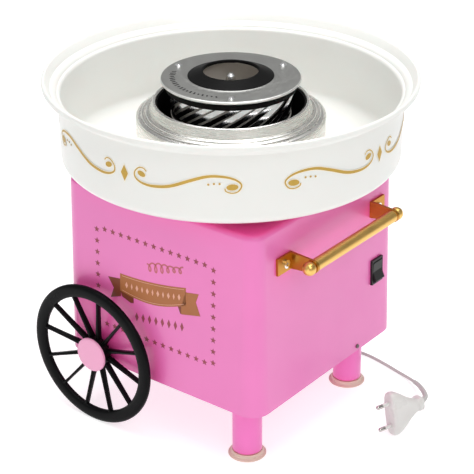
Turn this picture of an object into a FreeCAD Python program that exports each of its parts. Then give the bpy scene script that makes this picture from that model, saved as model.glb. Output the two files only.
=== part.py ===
"""Cotton candy machine on a small cart: two wheels, two feet, a spinning head and a lift-off bowl.

+Z is up. The origin is on the spinner's axis, on the floor. +X is the side with the handle and the
switch, -Y is the side with the printed panel. Lengths are millimetres.
"""
import FreeCAD, Part
import math
import os

import Sketcher
from FreeCAD import Placement, Rotation, Vector

UP = Vector(0, 0, 1)
ALONG_X = Vector(1, 0, 0)
ALONG_Y = Vector(0, 1, 0)
LEFT = -1
RIGHT = 1
SIDES = ((LEFT, "left"), (RIGHT, "right"))

SIZES = (
    ("cabinet_half_length", 93.5),
    ("cabinet_half_width", 92.0),
    ("cabinet_base", 51.5),
    ("cabinet_top", 202.5),
    ("cabinet_flare", 3.47),
    ("cabinet_corner", 15.3),
    ("cabinet_edge", 4.0),
    ("cabinet_wall", 2.5),
    ("deck_opening_radius", 62.0),
    ("floor_thickness", 2.5),
    ("floor_gap", 0.35),
    ("boss_radius", 4.5),
    ("boss_inset", 8.2),
    ("leg_x", 68.4),
    ("leg_y", 69.5),
    ("leg_radius", 11.75),
    ("leg_end", 4.1),
    ("foot_radius", 15.05),
    ("foot_top_radius", 12.2),
    ("foot_stem_radius", 6.5),
    ("wheel_radius", 60.2),
    ("wheel_x", -60.3),
    ("wheel_face", 108.3),
    ("wheel_thickness", 6.4),
    ("wheel_rim", 10.7),
    ("spoke_width", 2.4),
    ("hub_radius", 13.6),
    ("hub_cap_radius", 14.3),
    ("axle_radius", 3.0),
    ("running_clearance", 0.05),
    ("bowl_rim_radius", 145.0),
    ("bowl_rim_top", 282.3),
    ("bowl_wall_radius", 133.4),
    ("bowl_bottom", 210.0),
    ("bowl_wall", 2.5),
    ("bowl_hole_radius", 75.3),
    ("housing_radius", 73.75),
    ("housing_shoulder", 248.0),
    ("sheet_metal", 1.2),
    ("guard_opening_radius", 58.5),
    ("guard_top", 260.5),
    ("pan_radius", 57.2),
    ("pan_floor", 216.0),
    ("element_radius", 44.0),
    ("element_height", 232.0),
    ("element_wire_radius", 3.0),
    ("element_tail_offset", 5.6),
    ("head_radius", 54.3),
    ("head_top", 279.3),
    ("head_hole_radius", 21.3),
    ("head_funnel_radius", 35.5),
    ("head_funnel_height", 5.0),
    ("band_top_radius", 50.5),
    ("band_bottom_radius", 46.0),
    ("band_top", 276.75),
    ("band_bottom", 250.5),
    ("rivet_circle", 47.0),
    ("shaft_radius", 3.0),
    ("shaft_top", 272.0),
    ("shaft_bottom", 108.0),
    ("motor_radius", 29.0),
    ("motor_top", 182.0),
    ("motor_height", 48.0),
    ("fan_radius", 34.0),
    ("handle_standoff", 21.3),
    ("handle_level", 171.4),
    ("handle_left_arm", -51.2),
    ("handle_right_arm", 57.2),
    ("handle_bar_radius", 4.9),
    ("handle_knob_radius", 5.3),
    ("bracket_width", 18.5),
    ("bracket_height", 13.8),
    ("bracket_thickness", 2.0),
    ("arm_thickness", 2.4),
    ("switch_y", 65.9),
    ("switch_level", 114.4),
    ("switch_width", 15.0),
    ("switch_height", 21.5),
    ("rocker_width", 12.0),
    ("screw_radius", 1.75),
    ("clamp_rise", 4.2),
    ("cord_radius", 1.3),
    ("plug_width", 37.0),
    ("plug_thickness", 13.7),
    ("pin_radius", 1.7),
    ("pin_spacing", 19.0),
)

doc = FreeCAD.newDocument("cotton_candy_machine")
sheet = doc.addObject("Spreadsheet::Sheet", "Sizes")
for row, (alias, amount) in enumerate(SIZES, 1):
    sheet.set(f"A{row}", alias)
    sheet.set(f"B{row}", str(amount))
    sheet.setAlias(f"B{row}", alias)
doc.recompute()


class Dim:
    """A dimension: its value now, and the formula over the sheet that gives it."""

    def __init__(self, value, text):
        self.value = value
        self.text = text

    def __add__(self, other):
        other = dim(other)
        return Dim(self.value + other.value, f"({self.text} + {other.text})")

    def __sub__(self, other):
        other = dim(other)
        return Dim(self.value - other.value, f"({self.text} - {other.text})")

    def __mul__(self, factor):
        return Dim(self.value * factor, f"({self.text} * {factor})")

    def __neg__(self):
        return Dim(-self.value, f"(0 - {self.text})")

    def __float__(self):
        return float(self.value)


def dim(value):
    """A number, or a Dim, as a Dim."""
    if isinstance(value, Dim):
        return value
    return Dim(float(value), f"({float(value)})")


def size(alias):
    """The dimension that the sheet calls alias."""
    return Dim(float(sheet.get(alias)), f"Sizes.{alias}")


finished = {}


def keep(label, item):
    """Name a finished sub-part, and list it for the export."""
    item.Label = label
    finished[label] = item
    return item


def bind(item, **amounts):
    """Bind properties of an object to formulas over the sheet."""
    for name, amount in amounts.items():
        item.setExpression(name, dim(amount).text)
    return item


def put(item, x=0, y=0, z=0, axis=UP, angle=0):
    """Place an object. The place is bound to the sheet, the turn is fixed."""
    item.Placement = Placement(Vector(float(x), float(y), float(z)), Rotation(axis, angle))
    for name, amount in (("x", x), ("y", y), ("z", z)):
        if isinstance(amount, Dim):
            item.setExpression(f"Placement.Base.{name}", amount.text)
    return item


def cylinder(name, radius, height, x=0, y=0, z=0, axis=UP, angle=0):
    """A plain cylinder from its foot at x, y, z."""
    item = doc.addObject("Part::Cylinder", name)
    bind(item, Radius=radius, Height=height)
    return put(item, x, y, z, axis, angle)


def cone(name, foot, top, height, x=0, y=0, z=0, axis=UP, angle=0):
    """A plain cone from its foot at x, y, z."""
    item = doc.addObject("Part::Cone", name)
    bind(item, Radius1=foot, Radius2=top, Height=height)
    return put(item, x, y, z, axis, angle)


def block(name, length, width, height, x=0, y=0, z=0, axis=UP, angle=0):
    """A plain box with its lowest corner at x, y, z."""
    item = doc.addObject("Part::Box", name)
    bind(item, Length=length, Width=width, Height=height)
    return put(item, x, y, z, axis, angle)


def sphere(name, radius, x, y, z):
    """A plain ball centred on x, y, z."""
    item = doc.addObject("Part::Sphere", name)
    bind(item, Radius=radius)
    return put(item, x, y, z)


def less(name, base, *tools):
    """The base with every tool taken away from it."""
    for tool in tools:
        cut = doc.addObject("Part::Cut", name)
        cut.Base = base
        cut.Tool = tool
        base = cut
    return base


def joined(name, *pieces):
    """One solid made of overlapping pieces."""
    item = doc.addObject("Part::MultiFuse", name)
    item.Shapes = list(pieces)
    item.Refine = True
    return item


def group(name, *pieces):
    """Separate solids that share one node."""
    item = doc.addObject("Part::Compound", name)
    item.Links = list(pieces)
    return item


def origin_plane(body, role):
    """One of the body's own origin planes."""
    return next(item for item in body.Origin.OriginFeatures if item.Role == role)


def polygon(sketch, corners):
    """Draw a closed polygon whose corners are bound to the sheet."""
    spots = [Vector(float(x), float(y), 0) for x, y in corners]
    first = sketch.GeometryCount
    count = len(corners)
    for step in range(count):
        sketch.addGeometry(Part.LineSegment(spots[step], spots[(step + 1) % count]), False)
    for step in range(count):
        following = first + (step + 1) % count
        sketch.addConstraint(Sketcher.Constraint("Coincident", first + step, 2, following, 1))
    for step, corner in enumerate(corners):
        for kind, amount in zip(("DistanceX", "DistanceY"), corner):
            amount = dim(amount)
            rule = Sketcher.Constraint(kind, -1, 1, first + step, 1, amount.value)
            sketch.setExpression(f"Constraints[{sketch.addConstraint(rule)}]", amount.text)


def new_sketch(body, name, role, lift=0):
    """A sketch on one of the body's origin planes, lifted off it by a sheet dimension."""
    sketch = body.newObject("Sketcher::SketchObject", name)
    sketch.AttachmentSupport = [(origin_plane(body, role), "")]
    sketch.MapMode = "FlatFace"
    if lift:
        sketch.AttachmentOffset = Placement(Vector(0, 0, float(lift)), Rotation())
        sketch.setExpression("AttachmentOffset.Base.z", dim(lift).text)
    return sketch


def ring_edges(shape, spots):
    """Names of the circular edges that pass through the given (radius, height) spots."""
    names = []
    for number, edge in enumerate(shape.Edges, 1):
        if not isinstance(edge.Curve, Part.Circle):
            continue
        for radius, height in spots:
            near = abs(edge.Curve.Radius - float(radius)) < 0.02
            if near and abs(edge.Curve.Center.z - float(height)) < 0.02:
                names.append(f"Edge{number}")
    if len(names) < len(spots):
        raise ValueError(f"only {len(names)} of {len(spots)} ring edges found")
    return names


def turned(name, corners, rounds=()):
    """A body turned about Z from a closed outline of (radius, height) corners.

    Each entry of rounds is a fillet radius and the corners that it rounds.
    """
    body = doc.addObject("PartDesign::Body", name)
    sketch = new_sketch(body, f"{name}_outline", "XZ_Plane")
    polygon(sketch, corners)
    turn = body.newObject("PartDesign::Revolution", f"{name}_turn")
    turn.Profile = sketch
    turn.ReferenceAxis = (sketch, ["V_Axis"])
    turn.Angle = 360
    doc.recompute()
    for radius, spots in rounds:
        names = ring_edges(body.Tip.Shape, spots)
        base = body.Tip
        fillet = body.newObject("PartDesign::Fillet", f"{name}_round")
        fillet.Base = (base, names)
        bind(fillet, Radius=radius)
        doc.recompute()
    return body


def prism(name, corners, role, start, depth, rounds=()):
    """A body padded from a closed polygon on an origin plane, from start over depth.

    rounds holds fillet radii and the (u, v) corners whose edges along the pad they round.
    """
    body = doc.addObject("PartDesign::Body", name)
    sketch = new_sketch(body, f"{name}_outline", role, start)
    polygon(sketch, corners)
    pad = body.newObject("PartDesign::Pad", f"{name}_pad")
    pad.Profile = sketch
    bind(pad, Length=depth)
    doc.recompute()
    plane = sketch.Placement
    for radius, spots in rounds:
        shape = body.Tip.Shape
        names = []
        for number, edge in enumerate(shape.Edges, 1):
            ends = [plane.inverse().multVec(vertex.Point) for vertex in edge.Vertexes]
            if len(ends) < 2 or abs(ends[0].z - ends[1].z) < 0.01:
                continue
            for u, v in spots:
                if all(abs(end.x - float(u)) < 0.02 and abs(end.y - float(v)) < 0.02 for end in ends):
                    names.append(f"Edge{number}")
        if len(names) < len(spots):
            raise ValueError(f"{name}: only {len(names)} of {len(spots)} pad edges found")
        base = body.Tip
        fillet = body.newObject("PartDesign::Fillet", f"{name}_round")
        fillet.Base = (base, names)
        bind(fillet, Radius=radius)
        doc.recompute()
    return body


def rectangle(half_u, half_v):
    """Corners of a rectangle about the origin."""
    half_u = dim(half_u)
    half_v = dim(half_v)
    return ((-half_u, -half_v), (half_u, -half_v), (half_u, half_v), (-half_u, half_v))


def rounded_block(name, half_x, half_y, start, depth, corner):
    """A flat plate with rounded corners, centred on the axis."""
    corners = rectangle(half_x, half_y)
    return prism(name, corners, "XY_Plane", start, depth, rounds=((corner, corners),))


def screw(name, radius, length, x, y, z, axis=UP, angle=0, head=1.9, recess=True):
    """A round-headed screw: its head stands on x, y, z and its shank runs back from there."""
    head_radius = dim(radius) * head
    head_height = dim(radius) * 1.1
    top = cylinder(f"{name}_head", head_radius, head_height)
    shank = cylinder(f"{name}_shank", radius, dim(length) + 0.5, z=-(dim(length)))
    item = joined(f"{name}_blank", top, shank)
    if recess:
        slot = float(head_radius)
        for turn in (0, 90):
            bar = block(f"{name}_slot", slot * 1.1, 0.5, 1.0)
            shift = Rotation(UP, turn).multVec(Vector(-slot * 0.55, -0.25, float(head_height) - 0.8))
            bar.Placement = Placement(shift, Rotation(UP, turn))
            item = less(f"{name}_cross", item, bar)
    return put(item, x, y, z, axis, angle)


# ---------------------------------------------------------------- cabinet

flare_per_mm = float(size("cabinet_flare")) / float(size("cabinet_top") - size("cabinet_base"))
flare_angle = math.degrees(math.atan(flare_per_mm))


def wall_out(half, level):
    """How far out the cabinet's wall is at a level, on a side whose top is half wide."""
    return float(half) + flare_per_mm * (float(size("cabinet_top")) - float(level))


def box_section(body, name, level, shrink, corner, flare):
    """A rounded rectangle round the axis, as wide as the cabinet is at that level."""
    half_x = size("cabinet_half_length") + flare - shrink
    half_y = size("cabinet_half_width") + flare - shrink
    corner = dim(corner)
    sketch = new_sketch(body, name, "XY_Plane", level)
    inner_x = half_x - corner
    inner_y = half_y - corner
    centres = ((inner_x, inner_y), (-inner_x, inner_y), (-inner_x, -inner_y), (inner_x, -inner_y))
    spots = []
    for quarter, (x, y) in enumerate(centres):
        start = math.radians(90 * quarter)
        for turn in (start, start + math.pi / 2):
            reach = Vector(math.cos(turn), math.sin(turn), 0) * float(corner)
            spots.append(Vector(float(x), float(y), 0) + reach)
    for quarter, (x, y) in enumerate(centres):
        start = math.radians(90 * quarter)
        circle = Part.Circle(Vector(float(x), float(y), 0), UP, float(corner))
        sketch.addGeometry(Part.ArcOfCircle(circle, start, start + math.pi / 2), False)
        sketch.addGeometry(Part.LineSegment(spots[2 * quarter + 1], spots[(2 * quarter + 2) % 8]), False)
    for quarter, (x, y) in enumerate(centres):
        arc = 2 * quarter
        after = (arc + 2) % 8
        sketch.addConstraint(Sketcher.Constraint("Tangent", arc, 2, arc + 1, 1))
        sketch.addConstraint(Sketcher.Constraint("Tangent", arc + 1, 2, after, 1))
        for kind, amount in (("DistanceX", x), ("DistanceY", y)):
            rule = Sketcher.Constraint(kind, -1, 1, arc, 3, amount.value)
            sketch.setExpression(f"Constraints[{sketch.addConstraint(rule)}]", amount.text)
    rule = Sketcher.Constraint("Radius", 0, float(corner))
    sketch.setExpression(f"Constraints[{sketch.addConstraint(rule)}]", corner.text)
    return sketch


def flared(feature, profile, height, reverse=False):
    """Pull a section up along the flared walls, which close in as they rise."""
    feature.Profile = profile
    feature.Reversed = reverse
    bind(feature, Length=height)
    rise = "(Sizes.cabinet_top - Sizes.cabinet_base)"
    feature.setExpression("TaperAngle", f"-atan(Sizes.cabinet_flare / {rise})")
    doc.recompute()
    return feature


def make_cabinet():
    """The moulded box: flared walls, rounded top edge, corner bosses, and its cut-outs."""
    base = size("cabinet_base")
    top = size("cabinet_top")
    wall = size("cabinet_wall")
    corner = size("cabinet_corner")
    flare = size("cabinet_flare")
    body = doc.addObject("PartDesign::Body", "cabinet_blank")
    outline = box_section(body, "outer_outline", base, 0, corner, flare)
    outer = flared(body.newObject("PartDesign::Pad", "outer_walls"), outline, top - base)
    names = []
    for number, edge in enumerate(outer.Shape.Edges, 1):
        if all(abs(vertex.Z - float(top)) < 0.01 for vertex in edge.Vertexes):
            names.append(f"Edge{number}")
    edge_round = body.newObject("PartDesign::Fillet", "top_edge")
    edge_round.Base = (outer, names)
    bind(edge_round, Radius=size("cabinet_edge"))
    doc.recompute()
    solid_volume = body.Tip.Shape.Volume
    outline = box_section(body, "inner_outline", base, wall, corner - wall, flare)
    flared(body.newObject("PartDesign::Pocket", "hollow"), outline, top - wall - base, reverse=True)
    if not 0.04 < body.Tip.Shape.Volume / solid_volume < 0.1:
        raise ValueError("the cabinet was not hollowed as it should be")

    bosses = []
    inset = size("boss_inset")
    floor = size("floor_thickness")
    for sx in (-1, 1):
        for sy in (-1, 1):
            x = (size("cabinet_half_length") + flare - inset) * sx
            y = (size("cabinet_half_width") + flare - inset) * sy
            boss = cylinder("boss", size("boss_radius"), 16, x, y, base + floor)
            bore = cylinder("boss_bore", 1.4, 12, x, y, base + floor)
            bosses.append(less("boss_bored", boss, bore))
    shell = joined("cabinet_with_bosses", body, *bosses)

    cuts = [cylinder("deck_opening", size("deck_opening_radius"), 10, z=top - 6)]
    for turn in range(3):
        angle = math.radians(30 + 120 * turn)
        reach = 69.0
        x = reach * math.cos(angle)
        y = reach * math.sin(angle)
        cuts.append(cylinder("deck_screw_hole", 1.8, 10, x, y, top - 6))
    for turn in range(4):
        angle = math.radians(45 + 90 * turn)
        reach = 72.0
        x = reach * math.cos(angle)
        y = reach * math.sin(angle)
        cuts.append(cylinder("hanger_hole", 1.7, 10, x, y, top - 6))
    axle = size("wheel_radius")
    full = (size("cabinet_half_width") + 20) * 2
    cuts.append(cylinder("axle_hole", 5.0, full, size("wheel_x"), size("cabinet_half_width") + 20, axle,
                         ALONG_X, 90))
    face = size("cabinet_half_length")
    half = size("switch_width") * 0.5 - 1.0
    cuts.append(block("switch_hole", 12, half * 2, size("switch_height") - 2.2, face - 6,
                      size("switch_y") - half, size("switch_level") - (size("switch_height") - 2.2) * 0.5))
    for arm, side in ((size("handle_left_arm"), LEFT), (size("handle_right_arm"), RIGHT)):
        y = arm + side * (float(size("bracket_width")) * 0.42)
        cuts.append(cylinder("handle_screw_hole", 1.5, 14, face - 8, y, size("handle_level"), ALONG_Y, 90))
    cuts.append(cylinder("clamp_screw_hole", 1.1, 14, face - 8, 40, base + size("clamp_rise"), ALONG_Y, 90))
    keep("cabinet_shell", less("cabinet_cut", shell, *cuts))


def make_floor():
    """The cabinet's floor with its air slots, and the four screws that hold it."""
    base = size("cabinet_base")
    gap = size("floor_gap") + size("cabinet_wall")
    flare = size("cabinet_flare")
    thickness = size("floor_thickness")
    plate = rounded_block("floor_blank", size("cabinet_half_length") + flare - gap,
                          size("cabinet_half_width") + flare - gap, base, thickness,
                          size("cabinet_corner") - gap)
    cuts = []
    for row in range(7):
        x = -33 + 11 * row
        cuts.append(block("air_slot", 4, 60, 10, x - 2, -30, base - 4))
    inset = size("boss_inset")
    screws = []
    for sx in (-1, 1):
        for sy in (-1, 1):
            x = (size("cabinet_half_length") + flare - inset) * sx
            y = (size("cabinet_half_width") + flare - inset) * sy
            cuts.append(cylinder("floor_screw_hole", 1.75, 10, x, y, base - 4))
            screws.append(screw("floor_screw", 1.35, 11.5, x, y, base, ALONG_X, 180))
    for side in (-1, 1):
        cuts.append(cylinder("leg_screw_hole", 2.1, 10, size("leg_x"), size("leg_y") * side, base - 4))
    cuts.append(cylinder("gland_hole", 4.5, 10, 34, 82, base - 4))
    keep("base_plate", less("floor_cut", plate, *cuts))
    keep("base_screws", group("floor_screws", *screws))


def make_legs():
    """Two round legs under the handle end, each on a suction foot."""
    base = size("cabinet_base")
    end = size("leg_end")
    radius = size("leg_radius")
    stem = size("foot_stem_radius")
    top = size("foot_top_radius")
    screws = []
    for side, word in SIDES:
        corners = ((2.0, end + 3.2), (stem + 0.3, end + 3.2), (stem + 0.3, end), (radius - 1.0, end),
                   (radius, end + 1.0), (radius, base), (2.0, base))
        leg = turned(f"leg_{word}_turned", corners)
        place = (size("leg_x"), size("leg_y") * side)
        keep(f"leg_{word}", put(leg, *place))
        corners = ((0.0, 2.6), (5.0, 2.4), (10.0, 1.4), (13.0, 0.0), (size("foot_radius"), 0.0),
                   (size("foot_radius"), 0.6), (13.2, 2.0), (top, end - 0.05), (stem, end - 0.05),
                   (stem, end + 3.0), (0.0, end + 3.0))
        foot = turned(f"foot_{word}_turned", corners)
        keep(f"suction_foot_{word}", put(foot, *place))
        level = base + size("floor_thickness")
        screws.append(screw("leg_screw", 1.95, 16, *place, level))
    keep("leg_screws", group("leg_screws_pair", *screws))


# ---------------------------------------------------------------- wheels

def make_wheels():
    """The fixed axle with its bushes and clips, and the two spoked wheels with their caps."""
    face = size("wheel_face")
    thickness = size("wheel_thickness")
    radius = size("wheel_radius")
    axle = size("axle_radius")
    x = size("wheel_x")
    rod = cylinder("axle_rod", axle, (face - 3.2) * 2, x, face - 3.2, radius, ALONG_X, 90)
    keep("wheel_axle", rod)
    wall = wall_out(size("cabinet_half_width"), radius)
    bore = axle + size("running_clearance")
    bushes = []
    clips = []
    for side, word in SIDES:
        out = side
        corners = ((bore, wall - 4.5), (4.8, wall - 4.5), (4.8, wall + 0.25), (8.0, wall + 0.25),
                   (8.0, wall + 1.1), (bore, wall + 1.1))
        bush = turned(f"bush_{word}_turned", corners)
        bushes.append(put(bush, x, 0, radius, ALONG_X, -90 * out))
        corners = ((axle, face - 4.1), (7.2, face - 3.8), (7.2, face - 3.3), (axle, face - 3.6))
        clip = turned(f"clip_{word}_turned", corners)
        clips.append(put(clip, x, 0, radius, ALONG_X, -90 * out))

        inner = face - thickness
        rim_in = radius - size("wheel_rim")
        corners = ((rim_in, inner), (radius, inner), (radius, face), (rim_in, face))
        rim = turned(f"rim_{word}", corners, ((thickness * 0.44, corners),))
        hub_in = wall + 1.5
        cap_seat = face - 2.6
        hub = turned(f"hub_{word}", ((bore, hub_in), (9.0, hub_in), (size("hub_radius"), inner - 3.0),
                                     (size("hub_radius"), cap_seat), (8.0, cap_seat),
                                     (8.0, face - 4.2), (bore, face - 4.2)))
        spokes = []
        half = float(size("spoke_width")) * 0.5
        for count in range(12):
            angle = math.radians(20 + 30 * count)
            spoke = doc.addObject("Part::Box", f"spoke_{word}")
            bind(spoke, Length=rim_in + 3.0 - 10, Width=size("spoke_width"), Height=3.0)
            turn = Rotation(UP, math.degrees(angle) * -out)
            corner = turn.multVec(Vector(10, -half, float(inner) + 0.75))
            spoke.Placement = Placement(corner, turn)
            spokes.append(spoke)
        wheel = joined(f"wheel_{word}_solid", rim, hub, *spokes)
        keep(f"wheel_{word}", put(wheel, x, 0, radius, ALONG_X, -90 * out))

        cap_radius = size("hub_cap_radius")
        corners = ((0.0, cap_seat - 0.5), (7.6, cap_seat - 0.5), (7.6, cap_seat), (cap_radius, cap_seat),
                   (cap_radius, cap_seat + 1.1), (cap_radius - 2.4, cap_seat + 2.2),
                   (0.0, cap_seat + 2.6))
        cap = turned(f"cap_{word}", corners)
        keep(f"hub_cap_{word}", put(cap, x, 0, radius, ALONG_X, -90 * out))
    keep("axle_bushes", group("axle_bush_pair", *bushes))
    keep("axle_clips", group("axle_clip_pair", *clips))


# ---------------------------------------------------------------- handle and switch

def on_face(level, y, out=0.0):
    """A placement on the flared +X wall: local X points out of the wall."""
    x = wall_out(size("cabinet_half_length"), level)
    lean = Rotation(ALONG_Y, -flare_angle)
    shift = lean.multVec(Vector(float(out), 0, 0))
    return Placement(Vector(x, float(y), float(level)) + shift, lean)


def make_handle():
    """A round bar between two angle brackets, with a knob at each end."""
    level = size("handle_level")
    standoff = size("handle_standoff")
    width = size("bracket_width")
    height = size("bracket_height")
    bar = size("handle_bar_radius")
    knob = size("handle_knob_radius")
    arm = size("arm_thickness")
    sheet_gauge = size("bracket_thickness")
    arms = {LEFT: size("handle_left_arm"), RIGHT: size("handle_right_arm")}
    screws = []
    for side, word in SIDES:
        start = width * (0.5 * side - 0.5) - arm * (0.5 * side)
        back = block(f"plate_{word}", sheet_gauge, width, height, 0.05, start, height * -0.5)
        corners = ((0.05, height * -0.5), (standoff, -knob), (standoff, knob), (0.05, height * 0.5))
        web = prism(f"web_{word}", corners, "XZ_Plane", arm * -0.5, arm)
        boss = cylinder(f"boss_{word}", knob, arm, standoff, arm * 0.5, 0, ALONG_X, 90)
        hole = cylinder(f"bar_hole_{word}", bar * 0.62, 20, standoff, 10, 0, ALONG_X, 90)
        screw_y = float(width) * 0.42 * side
        drill = cylinder(f"plate_hole_{word}", 1.6, 20, -5, screw_y, 0, ALONG_Y, 90)
        bracket = less(f"bracket_{word}", joined(f"bracket_{word}_solid", back, web, boss), hole, drill)
        bracket.Placement = on_face(level, arms[side])
        keep(f"handle_bracket_{word}", bracket)

        neck = cylinder(f"neck_{word}", bar * 0.75, knob)
        seat = block(f"knob_seat_{word}", knob * 4, knob * 4, knob * 2, knob * -2, knob * -2, knob * -2)
        globe = less(f"ball_{word}", sphere(f"globe_{word}", knob, 0, 0, knob * 0.65), seat)
        stud = cylinder(f"stud_{word}", bar * 0.6, arm + 6.2, z=arm * -1.0 - 6.0)
        ball = joined(f"knob_{word}", neck, globe, stud)
        wall = on_face(level, 0)
        spot = wall.multVec(Vector(float(standoff), float(arms[side]) + side * float(arm) * 0.5, 0))
        ball.Placement = Placement(spot, wall.Rotation.multiply(Rotation(ALONG_X, -90 * side)))
        keep(f"handle_knob_{word}", ball)

        fixing = screw(f"handle_screw_{word}", size("screw_radius") * 0.8, 9, 0, 0, 0, head=2.4)
        wall = on_face(level, float(arms[side]) + screw_y, float(sheet_gauge) + 0.05)
        fixing.Placement = Placement(wall.Base, wall.Rotation.multiply(Rotation(ALONG_Y, 90)))
        screws.append(fixing)
    start = arms[LEFT] + arm * 0.5
    length = arms[RIGHT] - arms[LEFT] - arm
    rod = cylinder("bar_blank", bar, length)
    socket_depth = 6.2
    for name, foot in (("socket_low", 0), ("socket_high", length - socket_depth)):
        rod = less("bar_bored", rod, cylinder(name, bar * 0.6, socket_depth, z=foot))
    wall = on_face(level, 0)
    spot = wall.multVec(Vector(float(standoff), float(start), 0))
    rod.Placement = Placement(spot, wall.Rotation.multiply(Rotation(ALONG_X, -90)))
    keep("handle_bar", rod)
    keep("handle_screws", group("handle_screw_pair", *screws))


def make_switch():
    """A snap-in rocker switch: the frame with its body inside the wall, and the rocker."""
    level = size("switch_level")
    y = size("switch_y")
    width = size("switch_width")
    height = size("switch_height")
    rocker = size("rocker_width")
    frame = block("frame", 2.0, width, height, 0.05, width * -0.5, height * -0.5)
    body = block("switch_body", 13.0, width - 2.4, height - 2.6, -13.0, (width - 2.4) * -0.5,
                 (height - 2.6) * -0.5)
    window = block("window", 9.0, rocker + 0.7, 18.6, -6.0, (rocker + 0.7) * -0.5, -9.3)
    tabs = [block("tab", 6.0, 0.8, 4.8, -19.0, -0.4, low) for low in (-7.4, -2.4, 2.6)]
    bezel = joined("bezel_with_tabs", less("bezel_open", joined("bezel_solid", frame, body), window), *tabs)
    bezel.Placement = on_face(level, y)
    keep("switch_bezel", bezel)

    corners = ((-4.0, -5.6), (2.9, -8.35), (3.4, -7.6), (1.7, 0.0), (3.4, 7.6), (2.9, 8.35), (-4.0, 5.6))
    paddle = prism("rocker_pad", corners, "XZ_Plane", rocker * -0.5, rocker)
    wall = on_face(level, y, 0.3)
    tilt = Rotation(ALONG_Y, -9.0)
    paddle.Placement = Placement(wall.Base, wall.Rotation.multiply(tilt))
    keep("switch_rocker", paddle)


# ---------------------------------------------------------------- bowl

def make_bowl():
    """The bowl: beaded rim, upright wall, shallow floor, and a collar round its centre hole."""
    wall = size("bowl_wall")
    outer = size("bowl_wall_radius")
    bottom = size("bowl_bottom")
    hole = size("bowl_hole_radius")
    rim = size("bowl_rim_radius")
    top = size("bowl_rim_top")
    foot = size("cabinet_top") + 0.3
    inner = outer - wall
    corners = (
        (hole, bottom), (80.0, bottom), (80.0, foot), (84.0, foot), (84.0, bottom), (93.0, bottom),
        (119.0, bottom + 2.6), (outer - 0.8, bottom + 9.0), (outer, top - 13.0), (rim - 2.4, top - 5.4),
        (rim, top - 3.6), (rim, top), (rim - 3.0, top), (rim - 8.2, top - 9.2), (inner, top - 10.6),
        (inner - 0.8, bottom + 10.6), (117.6, bottom + 5.1), (93.0, bottom + wall),
        (hole + 2.2, bottom + wall), (hole + 2.2, bottom + 11.0), (hole, bottom + 11.0),
    )
    rounds = (
        (9.0, ((outer - 0.8, bottom + 9.0),)),
        (7.0, ((inner - 0.8, bottom + 10.6),)),
        (5.0, ((outer, top - 13.0),)),
        (1.2, ((rim, top), (rim - 3.0, top))),
    )
    keep("bowl", turned("bowl_turned", corners, rounds))


# ---------------------------------------------------------------- heater

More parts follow.
